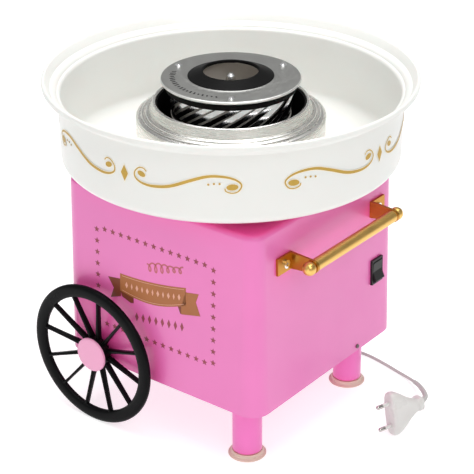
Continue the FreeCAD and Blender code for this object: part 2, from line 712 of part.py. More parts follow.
def make_heater():
    """The stepped aluminium collar, the black pan in it, and the ring heater on its supports."""
    deck = size("cabinet_top")
    gauge = size("sheet_metal")
    outer = size("housing_radius")
    shoulder = size("housing_shoulder")
    opening = size("guard_opening_radius")
    top = size("guard_top")
    seat = 67.0
    inner = outer - gauge
    corners = ((63.5, deck), (outer, deck), (outer, shoulder), (outer - 3.0, shoulder + 1.8),
               (seat, shoulder + 1.8), (seat, shoulder + 0.6), (inner - 2.2, shoulder + 0.6),
               (inner, shoulder - 0.8), (inner, deck + gauge), (63.5, deck + gauge))
    shell = turned("housing_turned", corners)
    holes = []
    screws = []
    for turn in range(3):
        angle = math.radians(30 + 120 * turn)
        x = 69.0 * math.cos(angle)
        y = 69.0 * math.sin(angle)
        holes.append(cylinder("flange_hole", 1.8, 6, x, y, deck - 2))
        screws.append(screw("housing_screw", 1.6, 4.2, x, y, deck - size("cabinet_wall"), ALONG_X, 180))
    keep("heater_housing", less("housing_cut", shell, *holes))
    keep("housing_screws", group("housing_screw_ring", *screws))

    step = shoulder + 1.9
    corners = ((opening, top - 0.5), (opening + 1.2, top), (opening + 2.4, top - 0.9),
               (opening + 4.8, step + 3.4), (opening + 4.0, step + 2.8), (opening + 6.4, step + 2.6),
               (opening + 7.4, step + 1.7), (opening + 7.0, step + 1.2), (opening + 9.6, step + 1.0),
               (opening + 10.8, step), (opening + 3.4, step), (opening + 1.0, top - 1.6),
               (opening, top - 1.6))
    keep("guard_ring", turned("guard_turned", corners))

    pan = size("pan_radius")
    floor = size("pan_floor")
    corners = ((12.0, floor), (pan - 8.0, floor), (pan, floor + 8.0), (pan, top - 1.8),
               (pan + 1.2, top - 1.8), (pan + 1.2, floor + 7.4), (pan - 7.4, floor - gauge),
               (12.0, floor - gauge))
    tub = turned("pan_turned", corners)
    lugs = []
    for turn in range(3):
        lug = block("pan_lug", 10.6, 9.0, gauge)
        angle = Rotation(UP, 90 + 120 * turn)
        corner = angle.multVec(Vector(float(pan) + 0.8, -4.5, 0))
        lug.Placement = Placement(Vector(corner.x, corner.y, float(deck) + float(gauge) + 0.05), angle)
        tie = block("pan_tie", gauge, 9.0, 30.0)
        corner = angle.multVec(Vector(float(pan) + 0.8, -4.5, 0))
        tie.Placement = Placement(Vector(corner.x, corner.y, float(deck) + float(gauge) + 0.05), angle)
        lugs.extend((lug, tie))
    ring = size("element_radius")
    wire = size("element_wire_radius")
    level = size("element_height")
    gap_half = math.degrees(math.asin(float(size("element_tail_offset")) / float(ring)))
    slots = []
    for side in (-1, 1):
        turn = math.radians(gap_half * side)
        x = float(ring) * math.cos(turn)
        y = float(ring) * math.sin(turn)
        slots.append(cylinder("element_hole", wire + 1.2, 8, x, y, floor - 4))
    keep("heater_pan", less("pan_cut", joined("pan_with_lugs", tub, *lugs), *slots))

    sweep = doc.addObject("Part::Torus", "element_ring")
    bind(sweep, Radius1=ring, Radius2=wire, Angle3=360 - 2 * gap_half)
    put(sweep, 0, 0, level, UP, gap_half)
    tails = []
    for side in (-1, 1):
        turn = math.radians(gap_half * side)
        x = float(ring) * math.cos(turn)
        y = float(ring) * math.sin(turn)
        tails.append(cylinder("element_tail", wire, level - floor + 9.0, x, y, floor - 9.0))
        tails.append(sphere("element_elbow", wire, x, y, level))
        tails.append(cylinder("element_pin", 1.1, 7.0, x, y, floor - 15.0))
    keep("heating_element", joined("element_solid", sweep, *tails))

    supports = []
    for turn in range(3):
        angle = math.radians(60 + 120 * turn)
        x = float(ring) * math.cos(angle)
        y = float(ring) * math.sin(angle)
        supports.append(cylinder("support", 4.0, level - wire - floor - 0.1, x, y, floor + 0.05))
    keep("element_insulators", group("support_ring", *supports))

    corners = ((0.0, floor - 10.5), (8.0, floor - 10.5), (8.0, floor - 2.2), (6.0, floor - gauge - 0.05),
               (0.0, floor - gauge - 0.05))
    disc = turned("thermostat_turned", corners)
    tabs = [block("thermostat_tab", 4.6, 0.8, 9.0, x, -0.4, floor - 19.4) for x in (-6.6, 2.0)]
    keep("thermostat", put(joined("thermostat_solid", disc, *tabs), -30, 14, 0))
    fuse = cylinder("fuse_body", 2.2, 12, -32, -24, floor - gauge - 2.3, ALONG_Y, 90)
    tails = [cylinder("fuse_tail", 0.5, 8, x, -24, floor - gauge - 2.3, ALONG_Y, 90) for x in (-39.5, -20.5)]
    keep("thermal_fuse", joined("fuse_solid", fuse, *tails))


# ---------------------------------------------------------------- extractor head

def make_head():
    """The head: funnel disc, slotted band, sugar pan, hub and rivets."""
    radius = size("head_radius")
    top = size("head_top")
    funnel = size("head_funnel_radius")
    hole = size("head_hole_radius")
    rise = size("head_funnel_height")
    under = top - 2.0
    corners = ((hole, top + rise - 0.4), (hole + 1.0, top + rise), (hole + 2.2, top + rise - 0.6),
               (funnel - 1.0, top + 0.2), (funnel + 1.0, top), (radius - 3.2, top), (radius, top - 1.4),
               (radius, top - 2.2), (radius - 1.0, under - 0.6), (funnel, under),
               (hole + 0.2, top + rise - 2.4), (hole, top + rise - 2.2))
    plate = turned("disc_turned", corners)
    spots = []
    for turn in range(3):
        angle = math.radians(-52 + 120 * turn)
        reach = float(size("rivet_circle"))
        spots.append((reach * math.cos(angle), reach * math.sin(angle)))
    holes = [cylinder("disc_rivet_hole", 1.8, 8, x, y, top - 5) for x, y in spots]
    keep("head_disc", less("disc_cut", plate, *holes))

    high = size("band_top")
    low = size("band_bottom")
    wide = size("band_top_radius")
    narrow = size("band_bottom_radius")
    gauge = 1.2
    corners = ((narrow - gauge, low), (narrow, low), (wide, high), (wide - gauge, high))
    band = turned("band_turned", corners)
    slots = []
    steps = 30
    middle = (float(wide) + float(narrow)) * 0.5
    level = (float(low) + float(high)) * 0.5
    for count in range(steps):
        angle = 360.0 / steps * count
        slot = doc.addObject("Part::Box", "band_slot")
        bind(slot, Length=14, Width=5.0, Height=(high - low) * 1.18)
        turn = Rotation(UP, angle).multiply(Rotation(ALONG_X, -38))
        corner = turn.multVec(Vector(-7, -2.5, -float(slot.Height) * 0.5))
        centre = Rotation(UP, angle).multVec(Vector(middle, 0, level))
        slot.Placement = Placement(centre + corner, turn)
        slots.append(slot)
    limit = doc.addObject("Part::Common", "slots_kept")
    limit.Base = group("band_slots", *slots)
    limit.Tool = cylinder("slot_limit", wide + 10, high - low - 6.0, z=low + 2.0)
    keep("head_band", less("band_cut", band, limit))

    floor = low - 1.6
    corners = ((6.0, floor), (narrow + 0.6, floor), (narrow + 0.6, low - 0.05), (narrow - 2.4, low - 0.05),
               (narrow - 4.0, floor + 1.3), (6.0, floor + 1.3))
    pan = turned("sugar_pan_turned", corners)
    posts = []
    for x, y in spots:
        posts.append(cylinder("pan_post_hole", 1.8, 6, x * 0.84, y * 0.84, floor - 2))
    keep("head_pan", less("sugar_pan_cut", pan, *posts))

    rivets = []
    for x, y in spots:
        lean_foot = Vector(x * 0.84, y * 0.84, float(floor) - 0.9)
        head = Vector(x, y, float(top))
        axis = head - lean_foot
        rod = cylinder("rivet_rod", 1.1, axis.Length)
        rod.Placement = Placement(lean_foot, Rotation(UP, axis))
        button = cone("rivet_button", 2.9, 1.8, 1.2, x, y, top + 0.02)
        heel = cylinder("rivet_heel", 2.2, 0.9, x * 0.84, y * 0.84, floor - 0.95)
        rivets.append(joined("rivet", rod, button, heel))
    keep("head_rivets", group("rivet_ring", *rivets))

    bore = size("shaft_radius") + 0.03
    shaft_end = size("shaft_top")
    corners = ((bore, floor - 3.0), (8.0, floor - 3.0), (8.0, floor - 0.05), (5.9, floor - 0.05),
               (5.9, shaft_end + 1.2), (4.2, shaft_end + 4.2), (3.1, shaft_end + 7.6),
               (1.4, shaft_end + 9.4), (0.0, shaft_end + 9.7), (0.0, shaft_end + 1.0),
               (bore, shaft_end + 1.0))
    hub = turned("hub_turned", corners)
    keep("head_hub", hub)


# ---------------------------------------------------------------- motor

def make_motor():
    """The motor on its rubber-mounted bracket, its shaft, and the cooling fan below it."""
    top = size("motor_top")
    height = size("motor_height")
    radius = size("motor_radius")
    shaft = size("shaft_radius")
    bore = shaft + 0.06
    low = top - height
    corners = ((bore, low - 3.0), (7.0, low - 3.0), (7.0, low), (radius - 2.0, low), (radius, low + 2.0),
               (radius, top - 2.0), (radius - 2.0, top), (7.0, top), (7.0, top + 1.6), (bore, top + 1.6))
    screw_reach = 19.0
    drills = [cylinder("motor_bore", 1.65, 8, screw_reach * side, 0, top - 6) for side in (-1, 1)]
    keep("motor_case", less("motor_bored", turned("motor_turned", corners), *drills))
    rod = cylinder("shaft_rod", shaft, size("shaft_top") - size("shaft_bottom"), z=size("shaft_bottom"))
    keep("motor_shaft", rod)

    gauge = 2.0
    spread = 72.0 * math.sqrt(0.5)
    plate = rounded_block("bracket_blank", spread + 8.0, spread + 8.0, top + 0.05, gauge, 8.0)
    window = [cylinder("bracket_bore", 7.4, 8, z=top - 3)]
    screws = []
    grommets = []
    spacers = []
    deck_under = size("cabinet_top") - size("cabinet_wall")
    for sx in (-1, 1):
        for sy in (-1, 1):
            x = spread * sx
            y = spread * sy
            window.append(cylinder("grommet_hole", 4.0, 8, x, y, top - 3))
            corners = ((1.9, top - 1.6), (6.0, top - 1.6), (6.0, top), (3.9, top), (3.9, top + gauge + 0.1),
                       (6.0, top + gauge + 0.1), (6.0, top + gauge + 1.7), (1.9, top + gauge + 1.7))
            grommets.append(put(turned("grommet_turned", corners), x, y, 0))
            foot = top + gauge + 1.75
            post = cylinder("spacer_post", 4.0, deck_under - foot, x, y, foot)
            spacers.append(less("spacer_bored", post, cylinder("spacer_bore", 1.9, 40, x, y, foot - 5)))
            length = size("cabinet_top") - top + 1.45
            screws.append(screw("hanger_screw", 1.6, length, x, y, top - 1.65, ALONG_X, 180))
    cut_x = 30.0
    for sx in (-1, 1):
        window.append(block("bracket_window_x", 24, 40, 8, sx * cut_x - 12 + sx * 16, -20, top - 3))
        window.append(block("bracket_window_y", 40, 24, 8, -20, sx * cut_x - 12 + sx * 16, top - 3))
    for sx in (-1, 1):
        window.append(cylinder("motor_screw_hole", 1.8, 8, sx * screw_reach, 0, top - 3))
        screws.append(screw("motor_screw", 1.6, gauge + 5, sx * screw_reach, 0, top + gauge + 0.05))
    keep("motor_bracket", less("bracket_cut", plate, *window))
    keep("motor_grommets", group("grommet_ring", *grommets))
    keep("motor_spacers", group("spacer_ring", *spacers))
    keep("motor_screws", group("motor_screw_set", *screws))

    foot = size("shaft_bottom")
    hub = cylinder("fan_boss", 8.0, 12.0, z=foot)
    blades = []
    for count in range(6):
        blade = doc.addObject("Part::Box", "fan_blade")
        bind(blade, Length=size("fan_radius") - 6.0, Width=12.0, Height=1.4)
        turn = Rotation(UP, 60.0 * count).multiply(Rotation(ALONG_X, 32))
        corner = turn.multVec(Vector(6.0, -6.0, -0.7))
        blade.Placement = Placement(Vector(0, 0, float(foot) + 6.0) + corner, turn)
        blades.append(blade)
    clear = cylinder("fan_clear", shaft, 40.0, z=foot - 5)
    keep("cooling_fan", less("fan_cut", joined("fan_solid", hub, *blades), clear))


# ---------------------------------------------------------------- leads and cord

def tube_path(route):
    """Straight runs joined by tangent arcs, each as large as its two runs allow."""
    points = [Vector(*point) for point in route]
    edges = []
    radii = []
    start = points[0]
    for before, corner, after in zip(points, points[1:], points[2:]):
        arriving = (corner - before).normalize()
        leaving = (after - corner).normalize()
        turn = arriving.getAngle(leaving)
        reach = 0.45 * min((corner - before).Length, (after - corner).Length)
        radius = reach / math.tan(turn / 2)
        arc_start = corner - arriving * reach
        arc_end = corner + leaving * reach
        inward = (leaving - arriving).normalize()
        centre_gap = math.hypot(reach, radius)
        arc_middle = corner + inward * (centre_gap - radius)
        edges.append(Part.LineSegment(start, arc_start).toShape())
        edges.append(Part.Arc(arc_start, arc_middle, arc_end).toShape())
        radii.append(radius)
        start = arc_end
    edges.append(Part.LineSegment(start, points[-1]).toShape())
    return edges, radii


def tube(edges, radius):
    """A round tube along a chain of edges, checked against its section times its length."""
    wire = Part.Wire(edges)
    first = edges[0]
    heading = first.tangentAt(first.FirstParameter)
    ring = Part.Wire([Part.Circle(first.valueAt(first.FirstParameter), heading, radius).toShape()])
    solid = wire.makePipeShell([ring], True, False)
    expected = math.pi * radius ** 2 * wire.Length
    if solid.ShapeType != "Solid":
        solid = solid.Solids[0]
    if abs(solid.Volume - expected) > 0.01 * expected:
        raise ValueError(f"tube volume {solid.Volume:.1f}, expected {expected:.1f}")
    return solid, wire.Length


def solid_feature(name, shape):
    """A sub-part whose shape is made from the sheet's sizes by Part's own functions."""
    item = doc.addObject("Part::Feature", name)
    item.Shape = shape
    item.Placement = Placement()
    return item


def lead(label, route, radius):
    """An insulated lead along its route."""
    edges, radii = tube_path(route)
    shape, length = tube(edges, radius)
    listing = ", ".join(f"{value:.1f}" for value in radii)
    print(f"{label}: length {length:.1f}, radii {listing}")
    return keep(label, solid_feature(f"{label}_tube", shape))


CORD_ROUTE = (
    (34.0, 82.0, 47.0),
    (34.5, 82.5, 34.0),
    (38.0, 89.0, 18.0),
    (45.0, 101.0, 6.0),
    (57.0, 112.0, 1.5),
    (78.0, 108.6, 1.5),
    (98.0, 103.2, 1.5),
    (114.0, 97.6, 3.0),
    (128.0, 87.5, 7.7),
    (137.2, 77.0, 12.8),
    (147.4, 65.6, 17.6),
    (153.9, 57.0, 19.3),
    (154.2, 49.3, 19.6),
)
SLEEVE_FIRST_EDGE = 14
PLUG_TURN = -107.0
PLUG_LEAN = 12.0


def make_cord():
    """The free cord from its gland to the plug, with the sleeve that guards it at the plug."""
    base = size("cabinet_base")
    corners = ((1.7, base - 4.5), (5.5, base - 4.5), (6.5, base - 0.1), (4.3, base - 0.1),
               (4.3, base + 2.6), (6.0, base + 2.6), (6.0, base + 4.6), (1.7, base + 4.6))
    gland = turned("gland_turned", corners)
    keep("cord_gland", put(gland, 34, 82, 0))
    radius = float(size("cord_radius"))
    edges, radii = tube_path(CORD_ROUTE)
    shape, length = tube(edges, radius)
    listing = ", ".join(f"{value:.1f}" for value in radii)
    print(f"power_cord: length {length:.1f}, radii {listing}")
    keep("power_cord", solid_feature("power_cord_tube", shape))
    sleeve_edges = edges[SLEEVE_FIRST_EDGE:]
    outer, sleeve_length = tube(sleeve_edges, 2.1)
    print(f"plug_strain_relief: length {sleeve_length:.1f}")
    keep("plug_strain_relief", solid_feature("sleeve_tube", outer.cut(shape)))
    make_plug(Vector(*CORD_ROUTE[-1]))


def make_plug(end):
    """A flat two-pin plug on its narrow side, with its axis along PLUG_TURN, leaning by PLUG_LEAN."""
    half = float(size("plug_width")) * 0.5
    thick = float(size("plug_thickness")) * 0.5
    heading = Rotation(UP, PLUG_TURN).multiply(Rotation(ALONG_X, PLUG_LEAN))
    back = end + heading.multVec(Vector(0.75, 0, 0))
    place = Placement(back, heading)
    lower = ((0.0, -5.5), (4.0, -5.6), (9.0, -6.6), (15.0, -9.8), (21.0, -14.2), (26.0, 0.6 - half),
             (29.0, -half), (32.5, -15.4))
    corners = lower + tuple((x, -z) for x, z in reversed(lower))
    blank = prism("plug_blank", corners, "XZ_Plane", -thick, 2 * thick)
    side = ((-1.0, -5.0), (8.0, -5.4), (16.0, -thick), (28.0, -thick), (33.5, -4.6), (33.5, 4.6),
            (28.0, thick), (16.0, thick), (8.0, 5.4), (-1.0, 5.0))
    profile = prism("plug_side", side, "XY_Plane", -half - 1.0, 2 * half + 2.0)
    body = doc.addObject("Part::Common", "plug_common")
    body.Base = blank
    body.Tool = profile
    spacing = size("pin_spacing") * 0.5
    pin = size("pin_radius")
    core = pin * 0.85
    along = {"axis": ALONG_Y, "angle": 90}
    pins = []
    sleeves = []
    sockets = []
    for level in (-spacing, spacing):
        root = cylinder("pin_root", core, 12.0, 28.0, 0, level, **along)
        rod = cylinder("pin_rod", pin, 4.3, 38.8, 0, level, **along)
        tip = sphere("pin_tip", pin, 43.1, 0, level)
        pins.append(joined("pin_whole", root, rod, tip))
        collar = cylinder("pin_collar", pin, 6.2, 32.55, 0, level, **along)
        bore = cylinder("sleeve_bore", core, 20.0, 30.0, 0, level, **along)
        sleeves.append(less("pin_sleeve", collar, bore))
        sockets.append(cylinder("pin_socket", core, 12.0, 28.0, 0, level, **along))
    for item in (group("pin_pair", *pins), group("pin_sleeves", *sleeves)):
        item.Placement = place
    shell = less("plug_bored", body, *sockets)
    shell.Placement = place
    keep("plug_body", shell)
    keep("plug_pins", doc.getObject("pin_pair"))
    keep("plug_pin_sleeves", doc.getObject("pin_sleeves"))


def make_wiring():
    """The terminal block, the clamp on the incoming cord, and the leads between the units."""
    base = size("cabinet_base")
    floor = base + size("floor_thickness")
    rise = size("clamp_rise")
    housing = block("terminal_housing", 30, 17, 14, -2, 58, floor)
    bores = [cylinder("terminal_bore", 1.6, 10, 5.5 + 9.5 * count, 66.5, floor + 6.0) for count in range(3)]
    keep("terminal_block", less("terminal_solid", housing, *bores))
    face = wall_out(size("cabinet_half_length"), base + rise)
    inner = face - float(size("cabinet_wall"))
    clamp = block("clamp_blank", 8.0, 14.0, 8.0, inner - 8.3, 33.0, floor + 0.2)
    pilot = cylinder("clamp_pilot", 1.2, 12.0, inner - 7.0, 40.0, base + rise, ALONG_Y, 90)
    keep("cord_clamp", less("clamp_solid", clamp, pilot))
    fixing = screw("clamp_screw_blank", 1.0, 8.5, 0, 0, 0, head=1.7)
    wall = on_face(base + rise, 40.0, 0.05)
    fixing.Placement = Placement(wall.Base, wall.Rotation.multiply(Rotation(ALONG_Y, 90)))
    keep("clamp_screw", fixing)

    low = float(floor)
    switch_x = wall_out(size("cabinet_half_length"), size("switch_level")) - 19.6
    switch_y = float(size("switch_y"))
    level = float(size("switch_level"))
    tab_x = switch_x - 1.5
    route = ((34.0, 82.0, low + 2.8), (34.0, 81.5, low + 12.0), (46.0, 78.0, low + 22.0),
             (60.0, 72.0, low + 32.0), (68.0, 67.5, level - 12.0), (tab_x, switch_y, level - 5.6))
    lead("mains_lead", route, 1.5)
    route = ((tab_x, switch_y, level + 0.4), (62.0, 60.0, level + 3.0), (50.0, 48.0, level + 12.0),
             (38.0, 34.0, level + 20.0), (30.5, 24.0, level + 26.0))
    lead("motor_lead", route, 1.3)
    route = ((tab_x, switch_y, level + 5.4), (66.0, 55.0, level + 18.0), (58.0, 34.0, level + 40.0),
             (50.5, 16.0, level + 62.0), (44.0, 5.9, level + 85.5))
    lead("heater_lead", route, 1.3)


make_cabinet()
make_floor()
make_legs()
make_wheels()
make_handle()
make_switch()
make_bowl()
make_heater()
make_head()
make_motor()
make_cord()
make_wiring()
doc.recompute()

for item in doc.Objects:
    if {"Invalid", "Error"} & set(item.State):
        raise ValueError(f"{item.Name} ({item.Label}): {item.State}")
os.makedirs("parts", exist_ok=True)
for label, item in sorted(finished.items()):
    shape = item.Shape
    if shape.isNull() or not shape.isValid() or not shape.Solids:
        raise ValueError(f"{label} has no sound solid")
for label, item in sorted(finished.items()):
    item.Shape.exportStep(f"parts/{label}.step")
print(f"{len(finished)} nodes written")
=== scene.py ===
"""Cotton candy machine on a small cart, dressed for a plain studio view.

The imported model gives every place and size. Lengths are metres, +Z is up, the origin is on the
spinner's axis on the floor, +X is the handle side and -Y is the printed side.
"""
import math

import bmesh
import bpy
from mathutils import Matrix, Vector


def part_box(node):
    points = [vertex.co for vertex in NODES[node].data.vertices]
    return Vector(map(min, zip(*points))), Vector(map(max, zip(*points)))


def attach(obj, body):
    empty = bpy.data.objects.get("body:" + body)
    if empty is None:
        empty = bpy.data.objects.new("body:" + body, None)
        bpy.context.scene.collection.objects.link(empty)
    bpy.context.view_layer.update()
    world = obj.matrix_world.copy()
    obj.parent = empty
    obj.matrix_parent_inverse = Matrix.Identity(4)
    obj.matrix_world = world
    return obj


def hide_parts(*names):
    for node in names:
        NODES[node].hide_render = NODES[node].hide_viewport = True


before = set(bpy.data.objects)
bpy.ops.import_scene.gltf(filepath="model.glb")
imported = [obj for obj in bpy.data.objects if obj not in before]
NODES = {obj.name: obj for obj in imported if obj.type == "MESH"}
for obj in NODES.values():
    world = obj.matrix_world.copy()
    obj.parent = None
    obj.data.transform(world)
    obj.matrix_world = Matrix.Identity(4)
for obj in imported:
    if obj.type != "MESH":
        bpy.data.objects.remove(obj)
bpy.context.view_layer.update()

MM = 0.001
LEFT = -1
RIGHT = 1
SIDES = ((LEFT, "left"), (RIGHT, "right"))


# ---------------------------------------------------------------- node helpers

def new_material(name):
    """A material with an empty Principled shader, and its tree."""
    material = bpy.data.materials.new(name)
    material.use_nodes = True
    tree = material.node_tree
    shader = tree.nodes["Principled BSDF"]
    return material, tree, shader


def object_noise(tree, scale, detail=3.0, roughness=0.55, stretch=(1, 1, 1)):
    """Noise in the object's own metres."""
    place = tree.nodes.new("ShaderNodeTexCoord")
    mapping = tree.nodes.new("ShaderNodeMapping")
    mapping.inputs["Scale"].default_value = stretch
    noise = tree.nodes.new("ShaderNodeTexNoise")
    noise.inputs["Scale"].default_value = scale
    noise.inputs["Detail"].default_value = detail
    noise.inputs["Roughness"].default_value = roughness
    tree.links.new(place.outputs["Object"], mapping.inputs["Vector"])
    tree.links.new(mapping.outputs["Vector"], noise.inputs["Vector"])
    return noise.outputs["Fac"]


def spread(tree, value, low, high, start=0.3, end=0.7):
    """A value spread between two amounts; it carries noise, and also the occlusion that places the painted
    shade.
    """
    ramp = tree.nodes.new("ShaderNodeMapRange")
    ramp.inputs["From Min"].default_value = start
    ramp.inputs["From Max"].default_value = end
    ramp.inputs["To Min"].default_value = low
    ramp.inputs["To Max"].default_value = high
    tree.links.new(value, ramp.inputs["Value"])
    return ramp.outputs["Result"]


def mixed(tree, value, first, second):
    """A colour between two, by a value."""
    mix = tree.nodes.new("ShaderNodeMix")
    mix.data_type = "RGBA"
    mix.inputs["A"].default_value = (*first, 1)
    mix.inputs["B"].default_value = (*second, 1)
    tree.links.new(value, mix.inputs["Factor"])
    return mix.outputs["Result"]


def bump(tree, shader, height, strength, distance):
    """Raise the surface by a height value."""
    node = tree.nodes.new("ShaderNodeBump")
    node.inputs["Strength"].default_value = strength
    node.inputs["Distance"].default_value = distance
    tree.links.new(height, node.inputs["Height"])
    tree.links.new(node.outputs["Normal"], shader.inputs["Normal"])


def tinted(colour, amount):
    """A colour made lighter or darker."""
    return tuple(min(1.0, part * amount) for part in colour)


def vary_colour(tree, shader, value, colour, drift):
    """Let a colour drift a little to each side, by a noise value."""
    part = spread(tree, value, 0, 1)
    drifting = mixed(tree, part, tinted(colour, 1 - drift), tinted(colour, 1 + drift))
    tree.links.new(drifting, shader.inputs["Base Color"])


def vary_gloss(tree, shader, value, roughness, uneven):
    """Let the roughness drift by a part of itself to each side, by a noise value."""
    rough = spread(tree, value, roughness * (1 - uneven), roughness * (1 + uneven))
    tree.links.new(rough, shader.inputs["Roughness"])


def plastic(name, colour, roughness, grain=900.0, relief=0.12, drift=0.05, coat=0.0,
            scatter=0.0, shine=0.5, uneven=0.18):
    """Moulded plastic: fine grain, slow colour drift and uneven gloss."""
    material, tree, shader = new_material(name)
    vary_colour(tree, shader, object_noise(tree, 14.0, 2.0), colour, drift)
    vary_gloss(tree, shader, object_noise(tree, 38.0, 4.0), roughness, uneven)
    bump(tree, shader, object_noise(tree, grain, 2.0), relief, 0.0002)
    shader.inputs["Specular IOR Level"].default_value = shine
    shader.inputs["Coat Weight"].default_value = coat
    shader.inputs["Coat Roughness"].default_value = 0.12
    shader.inputs["Subsurface Weight"].default_value = scatter
    shader.inputs["Subsurface Radius"].default_value = (0.004, 0.003, 0.003)
    return material


def paint_crevice_shade(material, colour, reach):
    """Paint shade into a material's colour: it turns to the painted shade colour where surfaces close in on
    each other, where shade falls in corners and under parts.
    """
    tree = material.node_tree
    shader = tree.nodes["Principled BSDF"]
    source = shader.inputs["Base Color"].links[0].from_socket
    shade = tree.nodes.new("ShaderNodeAmbientOcclusion")
    shade.samples = 8
    shade.inputs["Distance"].default_value = reach
    mix = tree.nodes.new("ShaderNodeMix")
    mix.data_type = "RGBA"
    mix.inputs["A"].default_value = (*colour, 1)
    tree.links.new(spread(tree, shade.outputs["AO"], 0, 1, 0.2, 0.95), mix.inputs["Factor"])
    tree.links.new(source, mix.inputs["B"])
    tree.links.new(mix.outputs["Result"], shader.inputs["Base Color"])


def metal(name, colour, roughness, stretch=(1, 1, 1), scale=260.0, relief=0.1, drift=0.06):
    """Metal with brushed or rubbed marks."""
    material, tree, shader = new_material(name)
    shader.inputs["Metallic"].default_value = 1.0
    marks = object_noise(tree, scale, 5.0, 0.6, stretch)
    vary_colour(tree, shader, marks, colour, drift)
    vary_gloss(tree, shader, marks, roughness, 0.25)
    bump(tree, shader, marks, relief, 0.0001)
    return material


# ---------------------------------------------------------------- materials

PINK = (0.78, 0.183, 0.48)
LEG_PINK = (0.86, 0.17, 0.52)
# The colour of the painted shade in the pink parts' corners and crevices.
PAINTED_SHADE_PINK = (0.98, 0.065, 0.36)
GOLD_INK = (0.36, 0.115, 0.024)

LOOK = {
    "pink_shell": plastic("pink_shell", PINK, 0.34, grain=700, relief=0.05, drift=0.025, coat=0.25),
    "pink_leg": plastic("pink_leg", LEG_PINK, 0.34, relief=0.05, drift=0.03, coat=0.25),
    "pink_cap": plastic("pink_cap", (0.82, 0.37, 0.56), 0.42, relief=0.05, drift=0.02),
    "floor_plate": plastic("floor_plate", tinted(PINK, 0.92), 0.5, relief=0.1),
    "white_bowl": plastic("white_bowl", (0.77, 0.77, 0.74), 0.34, grain=1400, relief=0.004, drift=0.004,
                          coat=0.2, uneven=0.05, scatter=0.4),
    "black_wheel": plastic("black_wheel", (0.004, 0.0043, 0.0047), 0.3, relief=0.04, drift=0.1, shine=0.07),
    "black_switch": plastic("black_switch", (0.016, 0.016, 0.016), 0.36, grain=1500, relief=0.12,
                            drift=0.1, shine=0.25),
    "gold_handle": metal("gold_handle", (0.78, 0.50, 0.15), 0.36, scale=60, relief=0.0, drift=0.03),
    "gold_bracket": metal("gold_bracket", (0.52, 0.25, 0.045), 0.34, scale=120, relief=0.01, drift=0.05),
    "bright_screw": metal("bright_screw", (0.80, 0.80, 0.80), 0.2, relief=0.05),
    "suction_foot": plastic("suction_foot", (0.79, 0.62, 0.51), 0.4, relief=0.05, scatter=0.2),
    "axle_steel": metal("axle_steel", (0.60, 0.60, 0.61), 0.3, stretch=(1, 6, 1)),
    "collar": metal("collar", (0.80, 0.79, 0.76), 0.27, stretch=(1, 1, 30), scale=30, relief=0.008,
                    drift=0.05),
    "pan_black": plastic("pan_black", (0.004, 0.0035, 0.0035), 0.6, relief=0.1, shine=0.08),
    "head_grey": metal("head_grey", (0.40, 0.40, 0.385), 0.40, relief=0.05, scale=500),
    "bright_strip": metal("bright_strip", (0.88, 0.89, 0.92), 0.13, relief=0.01),
    "rivet_bright": metal("rivet_bright", (0.92, 0.92, 0.92), 0.2, relief=0.02),
    "element_steel": metal("element_steel", (0.20, 0.18, 0.17), 0.45),
    "ceramic": plastic("ceramic", (0.80, 0.78, 0.71), 0.6, relief=0.2),
    "motor_steel": metal("motor_steel", (0.50, 0.51, 0.52), 0.38),
    "zinc_plate": metal("zinc_plate", (0.55, 0.56, 0.57), 0.4),
    "rubber_black": plastic("rubber_black", (0.02, 0.02, 0.02), 0.7, relief=0.2),
    "nylon": plastic("nylon", (0.72, 0.71, 0.68), 0.5),
    "cord_white": plastic("cord_white", (0.49, 0.47, 0.46), 0.45, relief=0.08, drift=0.03),
    "sleeve_grey": plastic("sleeve_grey", (0.50, 0.49, 0.48), 0.45, relief=0.08, drift=0.03),
    "plug_white": plastic("plug_white", (0.66, 0.65, 0.63), 0.3, relief=0.05, drift=0.03, scatter=0.2),
    "pin_metal": metal("pin_metal", (0.55, 0.53, 0.51), 0.24),
    "gold_ink": plastic("gold_ink", GOLD_INK, 0.42, drift=0.12),
    "fold_ink": plastic("fold_ink", (0.18, 0.030, 0.007), 0.42, drift=0.12),
    "pale_ink": plastic("pale_ink", (0.70, 0.36, 0.26), 0.45, drift=0.05),
    "star_ink": plastic("star_ink", (0.28, 0.04, 0.06), 0.45, drift=0.12),
    "script_ink": plastic("script_ink", (0.48, 0.11, 0.13), 0.45, drift=0.12),
    "gilt": metal("gilt", (0.46, 0.30, 0.07), 0.42, relief=0.04, drift=0.1),
    "cream_ink": plastic("cream_ink", (0.86, 0.80, 0.66), 0.4, relief=0.02, drift=0.02),
    "liner_brown": plastic("liner_brown", (0.62, 0.585, 0.54), 0.5, relief=0.1),
    "emboss_dark": plastic("emboss_dark", (0.02, 0.02, 0.02), 0.5, relief=0.03, shine=0.2),
    # The disc edge's look below is a painted highlight: a paler copy of the head's grey metal.
    "head_edge_highlight": metal("head_edge_highlight", (0.78, 0.78, 0.76), 0.5, scale=500, relief=0.03),
    "funnel_black": plastic("funnel_black", (0.007, 0.007, 0.007), 0.5, relief=0.03, shine=0.04),
}

# Painted shade: the pink shell and legs turn deep pink where parts close in on each other.
for shell, depth in (("pink_shell", 0.03), ("pink_leg", 0.012)):
    paint_crevice_shade(LOOK[shell], PAINTED_SHADE_PINK, depth)

